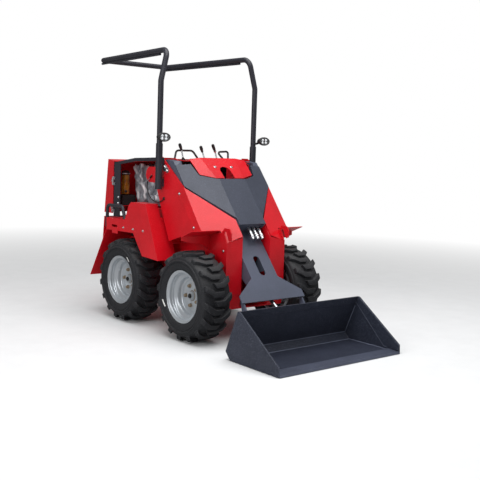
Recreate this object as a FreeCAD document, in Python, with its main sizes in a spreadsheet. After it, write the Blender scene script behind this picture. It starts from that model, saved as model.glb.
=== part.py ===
# Compact wheeled skid steer loader with a front bucket, in millimetres.
# The front faces -Y, up is +Z, and the origin is on the ground, under the
# middle of the machine. The pieces are drawn about the front axle, with y
# measured rearwards from it, and each is then placed by the same offset.

import FreeCAD, Part
import math
import os

import Sketcher

os.makedirs("parts", exist_ok=True)
doc = FreeCAD.newDocument("SkidSteerLoader")
V = FreeCAD.Vector
X_AXIS, Y_AXIS, Z_AXIS = V(1, 0, 0), V(0, 1, 0), V(0, 0, 1)

# Driving dimensions: alias, value, meaning
SIZES = [
    ("front_reach", 964, "front axle to the bucket's cutting edge"),
    ("rear_reach", 1412, "front axle to the back of the roll hoop"),
    ("wheelbase", 757, "front axle to rear axle"),
    ("wheel_side", 383, "middle of the machine to the middle of a wheel"),
    ("tyre_radius", 287, "tyre radius over the lugs"),
    ("tyre_width", 216, "tyre section width"),
    ("flange_radius", 168, "rim flange radius"),
    ("rim_width", 188, "rim width over its flanges"),
    ("rim_sheet", 5, "rim and disc thickness"),
    ("disc_side", 9, "wheel middle to the disc's outer face"),
    ("hub_radius", 52, "hub flange radius"),
    ("motor_radius", 62, "wheel motor body radius"),
    ("chassis_side", 245, "middle to the outside of a chassis plate"),
    ("chassis_plate", 8, "chassis plate thickness"),
    ("belly_height", 200, "ground to the underside of the chassis"),
    ("channel_side", 116, "middle to the inside of a front leg"),
    ("leg_front", 150, "front axle to the legs' front, forwards"),
    ("bulkhead", 190, "front axle to the bulkhead"),
    ("tower_side", 370, "middle to the outside of a tower"),
    ("tower_plate", 6, "tower plate thickness"),
    ("tower_inner", 290, "middle to the outer face of a tower's inner plate"),
    ("body_sheet", 4, "fender and panel thickness"),
    ("fender_side", 470, "middle to the outside of a rear fender"),
    ("pivot_y", 375, "front axle to the boom pivot"),
    ("pivot_z", 1079, "ground to the boom pivot"),
    ("pivot_pin_radius", 20, "boom pivot pin radius"),
    ("arm_end_radius", 60, "radius of a boom arm's round end"),
    ("arm_inner", 306, "middle to the inner face of a boom arm"),
    ("arm_outer", 358, "middle to the outer face of a boom arm"),
    ("boom_slope", 50.7, "slope of the boom's face, in degrees"),
    ("boom_fold", 110, "middle to the boom's folds, and half its neck"),
    ("boom_drop", 14.6, "angle that the boom's side facets fold back"),
    ("boom_depth", 106, "boom face to its lower plate"),
    ("boom_sheet", 5, "boom cover thickness"),
    ("boom_plate", 8, "boom plate thickness"),
    ("flare_side", 261, "middle to the edge of the boom's foot"),
    ("bucket_side", 499, "middle to the outside of the bucket"),
    ("bucket_height", 300, "ground to the bucket's top edge"),
    ("bucket_sheet", 6, "bucket plate thickness"),
    ("ground_gap", 3, "ground to the bucket's underside"),
    ("tilt_y", -400, "front axle to the bucket's pivot"),
    ("tilt_z", 110, "ground to the bucket's pivot"),
    ("tilt_pin_radius", 14, "bucket pivot pin radius"),
    ("eye_pin_radius", 13, "cylinder pin radius"),
    ("lift_bore_radius", 36, "lift cylinder barrel radius"),
    ("lift_rod_radius", 18, "lift cylinder rod radius"),
    ("tilt_bore_radius", 26, "tilt cylinder barrel radius"),
    ("tilt_rod_radius", 13, "tilt cylinder rod radius"),
    ("running_gap", 0.3, "clearance round a pin, a rod or an eye"),
    ("hoop_side", 404, "middle to a roll hoop post"),
    ("hoop_radius", 19, "roll hoop tube radius"),
    ("hoop_post", 403, "front axle to the roll hoop posts"),
    ("hoop_top", 1868, "ground to the middle of the roll hoop's rails"),
    ("frame_side", 386, "middle to the outside of a side frame"),
    ("seat_side", 225, "half the seat's width"),
    ("cable_radius", 3.5, "throttle cable radius"),
]

sheet = doc.addObject("Spreadsheet::Sheet", "Sizes")
for row, (alias, value, meaning) in enumerate(SIZES, start=1):
    sheet.set("A%d" % row, meaning)
    sheet.set("B%d" % row, str(value))
    sheet.setAlias("B%d" % row, alias)
doc.recompute()


def size(alias):
    """The value of one cell of the sheet."""
    return float(sheet.get(alias))


gap = size("running_gap")
body_sheet = size("body_sheet")
pivot = V(0, size("pivot_y"), size("pivot_z"))
pieces = []


# Placing and naming

def place(piece, label):
    """Names a piece and sets it back by half of what the machine reaches further to the rear."""
    piece.Label = label
    piece.setExpression("Placement.Base.y", "(Sizes.front_reach - Sizes.rear_reach) / 2")
    pieces.append(piece)
    return piece


def keep(label, *solids):
    """One sub-part from one solid, or from several that don't touch."""
    piece = doc.addObject("Part::Feature", label)
    piece.Shape = solids[0] if len(solids) == 1 else Part.makeCompound(list(solids))
    return place(piece, label)


def mirrored(shape):
    return shape.mirror(V(0, 0, 0), X_AXIS)


def keep_pair(label, shape):
    """The same piece on the machine's left (+X) and right (-X)."""
    keep(label + "_left", shape)
    keep(label + "_right", mirrored(shape))


# Plain solids

def box(low, high):
    """A block between two opposite corners."""
    return Part.makeBox(high[0] - low[0], high[1] - low[1], high[2] - low[2], V(*low))


def rod(start, end, radius):
    """A round bar between two points."""
    run = V(*end) - V(*start)
    return Part.makeCylinder(radius, run.Length, V(*start), run)


def cross_bar(y, z, x0, x1, radius):
    """A round bar across the machine."""
    return rod((x0, y, z), (x1, y, z), radius)


def side_plate(outline, x0, x1):
    """A plate parallel to the machine's side: (y, z) corners, from x0 to x1."""
    face = Part.Face(Part.makePolygon([V(x0, y, z) for y, z in outline + outline[:1]]))
    return face.extrude(V(x1 - x0, 0, 0))


def cross_plate(profile, x0, x1, thickness):
    """A bent sheet across the machine: it follows (y, z) corners, its thickness on their left."""
    turned = []
    for i, (y, z) in enumerate(profile):
        before = profile[max(i - 1, 0)]
        after = profile[min(i + 1, len(profile) - 1)]
        here = V(0, y, z)
        first = (here - V(0, *before)) if i else (V(0, *after) - here)
        second = (V(0, *after) - here) if i < len(profile) - 1 else first
        first.normalize()
        second.normalize()
        left_a, left_b = V(0, -first.z, first.y), V(0, -second.z, second.y)
        mitre = left_a + left_b
        mitre.normalize()
        turned.append(here + mitre * (thickness / mitre.dot(left_a)))
    outline = profile + [(p.y, p.z) for p in reversed(turned)]
    return side_plate(outline, x0, x1)


def flat_sheet(corners, thickness):
    """A flat sheet on 3-D corners, its thickness on the side its corners turn left round."""
    points = [V(*c) for c in corners]
    normal = (points[1] - points[0]).cross(points[2] - points[0])
    normal.normalize()
    flat = [p - normal * (p - points[0]).dot(normal) for p in points]
    return Part.Face(Part.makePolygon(flat + flat[:1])).extrude(normal * thickness)


def bent_bar(points, bends, radius):
    """A round bar along straight runs, with an arc of its own bend radius at each inner point."""
    corners = [V(*p) for p in points]
    edges, start = [], corners[0]
    for before, corner, after, bend in zip(corners, corners[1:], corners[2:], bends):
        back, on = (before - corner).normalize(), (after - corner).normalize()
        half = back.getAngle(on) / 2
        reach = bend / math.tan(half)
        enter, leave = corner + back * reach, corner + on * reach
        middle = (back + on).normalize()
        top = corner + middle * (bend / math.sin(half) - bend)
        edges += [Part.LineSegment(start, enter).toShape(), Part.Arc(enter, top, leave).toShape()]
        start = leave
    edges.append(Part.LineSegment(start, corners[-1]).toShape())
    path = Part.Wire(edges)
    section = Part.Wire(Part.makeCircle(radius, corners[0], corners[1] - corners[0]))
    return path.makePipeShell([section], True, False)


def trimmed(shape, cutter):
    """The largest piece of a shape that is left when a cutter is taken away."""
    return max(shape.cut(cutter).Solids, key=lambda solid: solid.Volume)


def fused(first, *others):
    return first.multiFuse(list(others)).removeSplitter()


def stadium(low, high, radius, x0, x1):
    """A slot-shaped bar across the machine between two (y, z) centres."""
    a, b = V(x0, *low), V(x0, *high)
    along = (b - a).normalize()
    side = V(0, -along.z, along.y) * radius
    outline = [Part.LineSegment(a + side, b + side), Part.Arc(b + side, b + along * radius, b - side),
               Part.LineSegment(b - side, a - side), Part.Arc(a - side, a - along * radius, a + side)]
    return Part.Face(Part.Wire([edge.toShape() for edge in outline])).extrude(V(x1 - x0, 0, 0))


def oval(centre, wide, high, length):
    """An oval block along the machine, on its front face's middle and half axes."""
    edge = Part.Ellipse(centre + X_AXIS * wide, centre + Z_AXIS * high, centre).toShape()
    return Part.Face(Part.Wire([edge])).extrude(Y_AXIS * length)


# Rims: a section with its disc and hub, turned about the axle

def on_axle(piece, side, y):
    """Binds a wheel's piece to its axle, on the machine's left (1) or right (-1)."""
    piece.setExpression("Placement.Base.x", "%d * Sizes.wheel_side" % side)
    piece.setExpression("Placement.Base.y", "(Sizes.front_reach - Sizes.rear_reach) / 2 + " + y)
    piece.setExpression("Placement.Base.z", "Sizes.tyre_radius")


def revolved(label, outline):
    """A PartDesign body turned about the X axis from (x, radius) corners."""
    body = doc.addObject("PartDesign::Body", label)
    sketch = body.newObject("Sketcher::SketchObject", label + "_section")
    plane = [f for f in body.Origin.OriginFeatures if f.Role == "XY_Plane"][0]
    sketch.AttachmentSupport = (plane, [""])
    sketch.MapMode = "FlatFace"
    count = len(outline)
    for i in range(count):
        a, b = outline[i], outline[(i + 1) % count]
        sketch.addGeometry(Part.LineSegment(V(a[0], a[1], 0), V(b[0], b[1], 0)), False)
    for i in range(count):
        sketch.addConstraint(Sketcher.Constraint("Coincident", i, 2, (i + 1) % count, 1))
    turn = body.newObject("PartDesign::Revolution", label + "_turn")
    turn.Profile = sketch
    turn.ReferenceAxis = (sketch, ["H_Axis"])
    turn.Angle = 360
    sketch.Visibility = False
    body.Tip = turn
    return place(body, label)


def rim_outline(side):
    """Section of the rim, disc and hub as (x, radius), outer side positive before mirroring."""
    half, flange, thick = size("rim_width") / 2, size("flange_radius"), size("rim_sheet")
    seat, well, disc = flange - 14, flange - 44, size("disc_side")
    hub = size("hub_radius")
    outline = [
        (half, flange), (half - 5, flange), (half - 9, seat), (half - 38, seat - 3), (half - 52, well),
        (-half + 72, well), (-half + 46, seat - 3), (-half + 9, seat), (-half + 5, flange), (-half, flange),
        (-half, flange - 5), (-half + 5, seat - thick), (-half + 44, seat - thick - 3),
        (-half + 70, well - thick), (disc - thick, well - thick), (disc - thick, hub),
        (disc - 34, hub), (disc - 34, 0), (disc + 22, 0), (disc + 22, 26), (disc + 6, 32), (disc, hub),
        (disc, well - thick - 8), (disc + 8, well - thick), (half - 50, well - thick),
        (half - 36, seat - thick - 3), (half - 5, seat - thick), (half, flange - 5),
    ]
    return [(side * x, r) for x, r in outline]


# Tyres: a faceted carcass with two rows of dog-leg lugs, the right row a mirror of the left and
# half a pitch behind it. Each lug starts past the middle of the tread, runs across it, then
# bends back over the shoulder. Lugs and carcass are fused to one solid.

tyre_radius, tyre_side = size("tyre_radius"), size("tyre_width") / 2
LUGS, FLATS = 16, 16
tread_reach = tyre_radius - 8
# Half section of the carcass: from the wheel's middle, and radius
CARCASS = [
    (tyre_side - 23.5, size("flange_radius") - 10.5), (tyre_side - 19.5, size("flange_radius") + 4),
    (tyre_side, tyre_radius - 69), (tyre_side - 10, tyre_radius - 37), (tyre_side - 48, tyre_radius - 22),
]
# One lug's corners: across the tread, length round it, and depth under the tyre's radius
LUG_TOP = [(20, 3.2, 0), (-38, 3.2, 0), (-93, 43, 10), (-93, 79, 10), (-31.5, 34.8, 0), (37, 34.8, 0)]
LUG_FOOT = [(18, 0, 29), (-39, 0, 29), (-96, 39, 44), (-96, 83, 44), (-30, 38, 29), (39, 38, 29)]
LUG_FLATS = [(0, 1, 4, 5), (1, 2, 4), (2, 3, 4)]


def on_wheel(x, radius, angle):
    """A point about the axle, at an angle from the wheel's front upwards."""
    return V(x, -radius * math.cos(angle), radius * math.sin(angle))


def faceted(loops):
    """A closed solid from flat faces."""
    faces = [Part.Face(Part.makePolygon(loop + loop[:1])) for loop in loops]
    solid = Part.makeSolid(Part.makeShell(faces))
    return solid if solid.Volume > 0 else solid.reversed()


def carcass():
    """The tyre under its lugs: its section joined round the wheel by flats."""
    section = CARCASS + [(-x, radius) for x, radius in reversed(CARCASS)]
    loops = []
    for flat in range(FLATS):
        low, high = (2 * math.pi * step / FLATS for step in (flat, flat + 1))
        for (x0, r0), (x1, r1) in zip(section, section[1:] + section[:1]):
            loops.append([on_wheel(x0, r0, low), on_wheel(x1, r1, low), on_wheel(x1, r1, high),
                          on_wheel(x0, r0, high)])
    return faceted(loops)


def lug():
    """One lug, from its foot inside the carcass to its flat top."""
    top, foot = [[on_wheel(x, tyre_radius - deep, run / tread_reach) for x, run, deep in corners]
                 for corners in (LUG_TOP, LUG_FOOT)]
    loops = [[top[i] for i in flat] for flat in LUG_FLATS]
    loops += [[foot[i] for i in reversed(flat)] for flat in LUG_FLATS]
    for i in range(len(top)):
        j = (i + 1) % len(top)
        loops += [[top[i], foot[i], foot[j]], [top[i], foot[j], top[j]]]
    return faceted(loops)


def turned(shape, degrees):
    """A shape turned about the axle, its front upwards."""
    copy = shape.copy()
    copy.rotate(V(0, 0, 0), X_AXIS, -degrees)
    return copy


pitch = 360 / LUGS
one_lug = lug()
rows = [turned(one_lug, pitch * step) for step in range(LUGS)]
rows += [turned(mirrored(one_lug), pitch * (step + 0.5)) for step in range(LUGS)]
tyre = fused(carcass(), *rows)
standing = -math.degrees(LUG_TOP[0][1] / tread_reach)
# Wheels: name, side, axle, and how far the tyre stands turned, front upwards, in degrees
WHEELS = [
    ("front_left", 1, "0", -2.25), ("front_right", -1, "0", 6.25),
    ("rear_left", 1, "Sizes.wheelbase", standing), ("rear_right", -1, "Sizes.wheelbase", standing),
]
for name, side, axle, angle in WHEELS:
    on_axle(revolved("rim_" + name, rim_outline(side)), side, axle)
    on_axle(keep("tyre_" + name, turned(tyre, angle)), side, axle)

# Wheel motors: flanged round bodies bolted through the chassis plates

motors = []
axle_z = size("tyre_radius")
hub_back = size("wheel_side") + size("disc_side") - 34
for y in (0, size("wheelbase")):
    start = size("chassis_side")
    case = cross_bar(y, axle_z, start, start + 58, size("motor_radius"))
    nose = cross_bar(y, axle_z, start + 58, hub_back - gap, 34)
    motor = fused(case, nose)
    motors += [motor, mirrored(motor)]
keep("wheel_motors", *motors)

# Chassis: side plates with tie-down eyes, legs, belly, bulkhead and rear wall

chassis_side, chassis_plate = size("chassis_side"), size("chassis_plate")
belly, bulkhead, leg_front = size("belly_height"), size("bulkhead"), -size("leg_front")
channel = size("channel_side")
inside = chassis_side - chassis_plate
side_outline = [
    (leg_front + 15, belly), (leg_front, 300), (leg_front, 636), (-192, 652), (-192, 694), (-170, 724),
    (-122, 724), (-92, 690), (60, 668), (175, 627), (312, 583), (470, 560), (1140, 560),
    (1168, 300), (1120, belly),
]
side = side_plate(side_outline, inside, chassis_side)
side = side.cut(stadium((-157, 640), (-132, 690), 13, inside - 1, chassis_side + 1))
leg_face = flat_sheet([(channel, leg_front, 660), (inside, leg_front, 628),
                       (inside, leg_front, 300), (channel, leg_front, 300)], chassis_plate)
leg_foot = flat_sheet([(channel, leg_front, 300), (inside, leg_front, 300),
                       (inside, leg_front + 15, belly), (channel, leg_front + 15, belly)], chassis_plate)
leg_inner = side_plate([(leg_front, 660), (leg_front, 300), (leg_front + 15, belly), (bulkhead, belly),
                        (bulkhead, 560), (-70, 760)], channel, channel + chassis_plate)
half = fused(side, leg_face, leg_foot, leg_inner)
belly_plate = box((-inside, leg_front + 15, belly), (inside, 1120, belly + chassis_plate))
wall = box((-inside, bulkhead, belly), (inside, bulkhead + chassis_plate, 560))
rear_wall = side_plate([(1112, belly), (1120, belly), (1160, 300), (1132, 560), (1124, 560), (1152, 300)],
                       -inside, inside)
lift_foot = (60, 250)
lift_eye, ear_plate = 41, 12
foot_ears = []
for x0 in (lift_eye, -lift_eye - ear_plate):
    ear = side_plate([(10, belly), (110, belly), (lift_foot[0] + 26, lift_foot[1]),
                      (lift_foot[0] + 18, lift_foot[1] + 22), (lift_foot[0] - 18, lift_foot[1] + 22),
                      (lift_foot[0] - 26, lift_foot[1])], x0, x0 + ear_plate)
    foot_ears.append(ear)
chassis = fused(half, mirrored(half), belly_plate, wall, rear_wall, *foot_ears)
lift_pin = cross_bar(lift_foot[0], lift_foot[1], -lift_eye - 16, lift_eye + 16, size("eye_pin_radius"))
chassis = chassis.cut(lift_pin)
keep("chassis_frame", chassis)
keep("lift_foot_pin", lift_pin)

# Towers: outer and inner plates, a bevel, the sloped face, the back and a guard beside the seat.
# The sheet over the wheel reaches out as a fender, held by a gusset under its rear edge.

tower_side, tower_plate, tower_inner = size("tower_side"), size("tower_plate"), size("tower_inner")
fender_side = size("fender_side")
tower_in = tower_side - tower_plate
fender_front, fender_rear = (-80, 703), (28, 660)
outer = side_plate([(415, 1157), (245, 952), (-3, 672), fender_rear, (184, 641), (312, 601), (380, 735),
                    (472, 937), (480, 1157)], tower_in, tower_side)
bevel_out = [V(tower_side, 415, 1157), V(tower_side, 245, 952), V(tower_side, -3, 672)]
bevel_in = [V(tower_in, 167, 965), V(tower_in, -46, 690)]
bevel = []
for corners in ([bevel_out[0], bevel_in[0], bevel_out[1]], [bevel_out[1], bevel_in[0], bevel_in[1]],
                [bevel_out[1], bevel_in[1], bevel_out[2]]):
    bevel.append(Part.Face(Part.makePolygon(corners + corners[:1])).extrude(X_AXIS * -tower_plate))
inner = side_plate([(384, 1150), (306, 1112), (300, 1060), (150, 860), (110, 790), (110, 680), (184, 641),
                    (312, 606), (440, 740), (478, 937), (480, 1150)], tower_inner - tower_plate, tower_inner)
seam = tower_in - 1
face = flat_sheet([(seam, 167, 965), (seam, -46, 690), (chassis_side, -80, 703),
                   (chassis_side - 10, -140, 630), (channel, -147, 662), (117, -70, 765)], body_sheet)
under = cross_plate([fender_front, fender_rear, (184, 641), (312, 601)], chassis_side, tower_in, body_sheet)
overhang = cross_plate([fender_front, fender_rear], tower_in, fender_side, body_sheet)
gusset_y = fender_rear[0]
gusset_corners = [V(x, gusset_y, z) for x, z in (
    (chassis_side + gap, 664), (chassis_side + gap, 570), (265, 570), (280, 590), (320, 612), (420, 624),
    (fender_side, 638), (fender_side, 664))]
gusset = Part.Face(Part.makePolygon(gusset_corners + gusset_corners[:1])).extrude(Y_AXIS * -body_sheet)
back = cross_plate([(472, 937), (380, 735), (312, 601)], tower_inner - tower_plate, tower_in, -body_sheet)
back_top = box((tower_inner, 474, 940), (tower_in, 478, 1150))
guard_low, guard_high, guard_nose = 975, 1083, 665
guard_middle, guard_radius = (guard_low + guard_high) / 2, (guard_high - guard_low) / 2
guard = fused(box((tower_inner + 7, 476, guard_low), (tower_inner + 13, guard_nose, guard_high)),
              cross_bar(guard_nose, guard_middle, tower_inner + 7, tower_inner + 13, guard_radius))
tower = fused(outer, *bevel, inner, face, under, overhang, gusset, back, back_top, guard).cut(chassis)
tower = tower.cut(cross_bar(pivot.y, pivot.z, tower_inner - 10, tower_side + 1, size("pivot_pin_radius")))
keep_pair("tower", tower)

pin = cross_bar(pivot.y, pivot.z, tower_inner - 14, tower_side + 8, size("pivot_pin_radius"))
keeper = box((tower_side, pivot.y - 36, pivot.z - 16), (tower_side + 5, pivot.y + 24, pivot.z + 16))
pivot_pin = fused(pin, keeper)
keep("boom_pivot_pins", pivot_pin, mirrored(pivot_pin))

# Cowl: three facets over the hydraulics, with an arch, and the dash behind it

cowl_top, cowl_low, cowl_out_low = (151, 291, 1158), (116, 147, 1027), (223, 187, 1048)
cowl_out_top = (237, 293, 1147)
middle = flat_sheet([(-cowl_top[0],) + cowl_top[1:], (-cowl_low[0],) + cowl_low[1:], cowl_low, cowl_top],
                    -body_sheet)
wing = flat_sheet([cowl_top, cowl_low, cowl_out_low, cowl_out_top], -body_sheet)
dash_top = 1136
dash_side = tower_inner - tower_plate
dash = box((-dash_side, 291, dash_top - body_sheet), (dash_side, 440, dash_top))
dash_front = box((-230, 289, dash_top - body_sheet), (230, 293, 1150))
cowl = fused(middle, wing, mirrored(wing), dash, dash_front)
arch_radius, arch_height = 44, 110
up_cowl = (V(*cowl_top) - V(*cowl_low))
up_cowl = V(0, up_cowl.y, up_cowl.z).normalize()
off_cowl = V(0, -up_cowl.z, up_cowl.y)
sill = V(0, *cowl_low[1:])
arch_centre = sill + up_cowl * (arch_height - arch_radius)
arch_foot = sill - up_cowl * 20
round_top = Part.makeCylinder(arch_radius, 60, arch_centre - off_cowl * 30, off_cowl)
corners = [arch_foot + V(-arch_radius, 0, 0), arch_foot + V(arch_radius, 0, 0),
           arch_centre + V(arch_radius, 0, 0), arch_centre - V(arch_radius, 0, 0)]
arch_face = Part.Face(Part.makePolygon([corner - off_cowl * 30 for corner in corners + corners[:1]]))
cowl = cowl.cut(fused(round_top, arch_face.extrude(off_cowl * 60)))
keep("cowl", cowl)

# Control valve, hung under the dash behind the arch: one plain block with its spools' caps

valve = box((-240, 330, 1014), (110, 436, dash_top - body_sheet - gap))
keep("control_valve", valve)

# Rear fenders: a folded outer skin, its top, front and the lining over the wheel

fender_in = tower_side + 4
skin_outline = [(969, 708), (716, 712), (667, 814), (640, 838), (454, 838), (413, 748), (292, 476),
                (483, 485), (604, 629), (966, 622)]
skin = side_plate(skin_outline, fender_side - body_sheet, fender_side)
skin = skin.cut(stadium((826, 657), (884, 657), 8.5, fender_side - 10, fender_side + 10))
tab = side_plate([(804, 648), (804, 605), (880, 605), (880, 648)], fender_side, fender_side + body_sheet)
top = cross_plate([(292, 476), (413, 748), (454, 838), (640, 838), (667, 814), (716, 712), (969, 708),
                   (966, 622)], fender_in, fender_side, -body_sheet)
lining = cross_plate([(292, 476), (483, 485), (604, 629), (966, 622), (1190, 262)], chassis_side,
                     fender_side, body_sheet)
front_low = cross_plate([(292, 476), (413, 748)], 320, fender_in, -body_sheet)
fender = fused(skin, tab, top, lining, front_low)
fender = fender.cut(chassis)
keep_pair("rear_fender", fender)

# Footwell floor and the seat box, between the chassis plates

floor = cross_plate([(bulkhead + 8, 548), (560, 548)], -inside, inside, body_sheet)
keep("footwell_floor", floor)
seat_top = 790
seat_box = box((-inside, 564, 548), (inside, 900, seat_top))
seat_box = seat_box.cut(box((-inside + 4, 568, 540), (inside - 4, 896, seat_top - body_sheet)))
seat_box = fused(seat_box, box((-inside, 900, seat_top - body_sheet), (inside, 964, seat_top)))
keep("seat_box", seat_box)

# Seat

seat = size("seat_side")
cushion_top, cushion_back = seat_top + 72, 880
cushion = box((-seat, 560, seat_top + gap), (seat, cushion_back, cushion_top))
cushion = cushion.makeFillet(24, [e for e in cushion.Edges if e.BoundBox.ZMin > cushion_top - 1])
keep("seat_cushion", cushion)
backrest = side_plate([(cushion_back + gap, seat_top + gap), (955, seat_top + gap), (1005, 1080), (985, 1098),
                       (936, 1092)], -seat + 10, seat - 10)
keep("seat_backrest", backrest)

# Engine, its air cleaner and the battery behind the seat

keep("engine", box((-190, 905, belly + chassis_plate), (190, 1080, 780)))
battery_top = 866
bowl = rod((-300, 1000, battery_top), (-300, 1000, 1045), 31)
clamp = rod((-300, 1000, 1018), (-300, 1000, 1026), 34)
keep("air_cleaner", fused(bowl, clamp))
keep("battery", box((-345, 966, seat_top), (-232, 1060, battery_top)))
fender_top = 708
tray = box((200, 966, seat_top - body_sheet), (fender_in + body_sheet, 1080, seat_top))
tray_leg = box((fender_in, 966, fender_top), (fender_in + body_sheet, 1020, seat_top))
keep_pair("engine_tray", fused(tray, tray_leg))

# Side frames: a wide post, and a rail that runs forward to the tower

frame_side = size("frame_side")
frame_outline = [(1016, fender_top), (1016, 1101), (735, 1140), (478, 1150), (478, 1126), (735, 1116),
                 (932, 1090), (932, fender_top)]
frame = side_plate(frame_outline, frame_side - 6, frame_side).cut(fender)
hinge_y, hinge_x = 1022, -frame_side - 6
knuckle_radius, knuckle_height, hinge_pin = 7, 20, 3
hinge_feet = (739, 936)
frame_knuckles, door_knuckles, hinge_bores = [], [], []
for z in hinge_feet:
    for step, knuckles in ((0, frame_knuckles), (1, door_knuckles), (2, frame_knuckles)):
        low = z + step * (knuckle_height + gap)
        high = low + knuckle_height
        knuckles.append(rod((hinge_x, hinge_y, low), (hinge_x, hinge_y, high), knuckle_radius))
        leaf_end = -24 if knuckles is frame_knuckles else 24
        ends = sorted((hinge_y, hinge_y + leaf_end))
        knuckles.append(box((hinge_x + 2, ends[0], low), (hinge_x + 6, ends[1], high)))
    low, high = (hinge_x, hinge_y, z), (hinge_x, hinge_y, z + 3 * knuckle_height + 2 * gap)
    frame_knuckles.append(rod(low, high, hinge_pin))
    hinge_bores.append(rod(low, high, hinge_pin + gap))
keep("side_frame_left", frame)
keep("side_frame_right", fused(mirrored(frame), *frame_knuckles))

hood = cross_plate([(1016, 1101), (735, 1140)], -frame_side + 6, frame_side - 6, body_sheet)
keep("rear_hood", hood)
rear_panel = side_plate([(1186, 262), (1190, 262), (1150, 700), (1090, 700), (1090, 696), (1146, 696)],
                        -frame_side, frame_side)
rear_panel = rear_panel.cut(Part.makeCompound([chassis, fender, mirrored(fender)]))
keep("rear_panel", rear_panel)

# Rear door, hinged on the machine's right

door_y, door_x = 1028, frame_side
door_skin = side_plate([(1102, 1122), (1106, 1122), (1148, 730), (1144, 730)], -door_x, door_x)
door_cheek = side_plate([(door_y, 1106), (1102, 1122), (1144, 730), (door_y, 730)], door_x - 4, door_x)
door_top = side_plate([(door_y, 1110), (1104, 1122), (1104, 1118), (door_y, 1106)], -door_x, door_x)
door = fused(door_skin, door_cheek, mirrored(door_cheek), door_top, *door_knuckles)
door = door.cut(Part.makeCompound(hinge_bores))
keep("rear_door", door)

# Roll hoop: posts that lean in at the top, rails that run back, one rear bar

hoop_side, hoop_radius, hoop_top = size("hoop_side"), size("hoop_radius"), size("hoop_top")
hoop_back = size("rear_reach") - hoop_radius
post_y = size("hoop_post")
post_foot, sleeve_top = 940, 1245
half_route = [(hoop_side, post_y, post_foot), (hoop_side, post_y, 1660), (350, post_y + 10, hoop_top),
              (290, hoop_back, hoop_top - 4)]
route = half_route + [(-x, y, z) for x, y, z in reversed(half_route)]
tube = bent_bar(route, [60, 60, 30, 30, 60, 60], hoop_radius)
stays = []
for side in (1, -1):
    stays.append(rod((side * hoop_side, post_y, post_foot), (side * hoop_side, post_y, sleeve_top),
                     hoop_radius + 4))
    ends = sorted((side * tower_side, side * hoop_side))
    stays += [box((ends[0], post_y - 14, z), (ends[1], post_y + 26, z + 50))
              for z in (post_foot + 20, post_foot + 160)]
    stays.append(rod((side * 344, 511, hoop_top - 25), (side * 290, hoop_back, hoop_top - 29), 8))
keep("roll_hoop", fused(tube, *stays))

# Work lamps on the posts: an oval shell with a smaller back, on a stalk

lamp_y, lamp_z, lamp_depth = 286, 1285, 22
lamps, lenses = [], []
for side, lamp_x in ((1, 414), (-1, 442)):
    centre = V(side * lamp_x, lamp_y, lamp_z)
    shell = oval(centre, 48, 30, lamp_depth)
    rear = oval(centre + Y_AXIS * lamp_depth, 36, 22, 24)
    post_x = side * hoop_side
    stalk = rod((centre.x, lamp_y + 30, lamp_z), (post_x, post_y - 6, lamp_z - 19), 8)
    post = rod((post_x, post_y, post_foot), (post_x, post_y, 1400), hoop_radius)
    lamps.append(fused(shell, rear, stalk).cut(post))
    lenses.append(oval(centre - Y_AXIS * 4, 42, 25, 4))
keep("work_lamps", *lamps)
keep("lamp_lenses", *lenses)

# Grab hoops on the rear fenders

grab_x = fender_side - 14
grab_route = [(grab_x, 981.3, 640), (grab_x, 981.3, 796), (grab_x, 775, 800), (grab_x, 735, fender_top + 4)]
grab = trimmed(bent_bar(grab_route, [30, 30], 12), fender)
keep("grab_hoops", grab, mirrored(grab))

# Controls on the dash

levers = []
for foot, knee, tip in (((-205, 405, 1133), (-211, 424, 1205), (-229, 424, 1250)),
                        ((-22, 405, 1133), (-34, 424, 1195), (-52, 424, 1238)),
                        ((84, 405, 1133), (75, 424, 1203), (51, 424, 1253))):
    levers.append(trimmed(fused(rod(foot, knee, 5), rod(knee, tip, 11)), cowl))
throttle_top, throttle_foot = (-tower_inner - 19, 634, 1025), (-tower_inner - 19, 684, 981)
levers.append(rod(throttle_top, throttle_foot, 6))
keep("control_levers", *levers)
hand_hoops = []
for route, bend in (([(-266, 425, 1134), (-236, 450, 1202), (-100, 450, 1203), (-58, 425, 1134)], 32),
                    ([(168, 425, 1134), (118, 455, 1199), (216, 455, 1205), (194, 425, 1134)], 14)):
    hand_hoops.append(trimmed(bent_bar(route, [bend, bend], 7), cowl))
keep("hand_hoops", *hand_hoops)

# Throttle cable, from its lever round the back of the tower and through the outer plate

cable_route = [throttle_foot, (-312, 695, 938), (-330, 636, 888), (-350, 562, 858), (-374, 466, 848),
               (-380, 404, 854), (-tower_side + 2, 384, 878)]
cable_points = [V(*point) for point in cable_route]
cable_bends = []
for before, corner, after in zip(cable_points, cable_points[1:], cable_points[2:]):
    half_turn = (corner - before).getAngle(after - corner) / 2
    shorter_run = min((corner - before).Length, (after - corner).Length)
    cable_bends.append(0.45 * shorter_run / math.tan(half_turn))
cable = bent_bar(cable_route, cable_bends, size("cable_radius"))
keep("throttle_cable", trimmed(cable, Part.makeCompound([levers[-1], mirrored(tower)])))

# Boom: its face slopes down to the front, and is measured down that slope

slope = math.radians(size("boom_slope"))
down = V(0, -math.cos(slope), -math.sin(slope))
out = V(0, -math.sin(slope), math.cos(slope))
crown = V(0, 117, 1016)
fold = size("boom_fold")
drop = math.tan(math.radians(size("boom_drop")))
depth = size("boom_depth")
boom_sheet, boom_plate = size("boom_sheet"), size("boom_plate")


def on_boom(x, run, deep=0):
    """A point of the boom: x across, run down the slope, and deep below the folded face."""
    fall = max(abs(x) - fold, 0) * drop
    return crown + V(x, 0, 0) + down * run - out * (deep + fall)


def facet(corners, deep, thickness):
    """A plate parallel to the boom's face, on (x, run) corners, from one depth to another."""
    points = [on_boom(x, run, deep) for x, run in corners]
    lower = [on_boom(x, run, deep + thickness) for x, run in corners]
    return Part.Face(Part.makePolygon(points + points[:1])).extrude(lower[0] - points[0])


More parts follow.
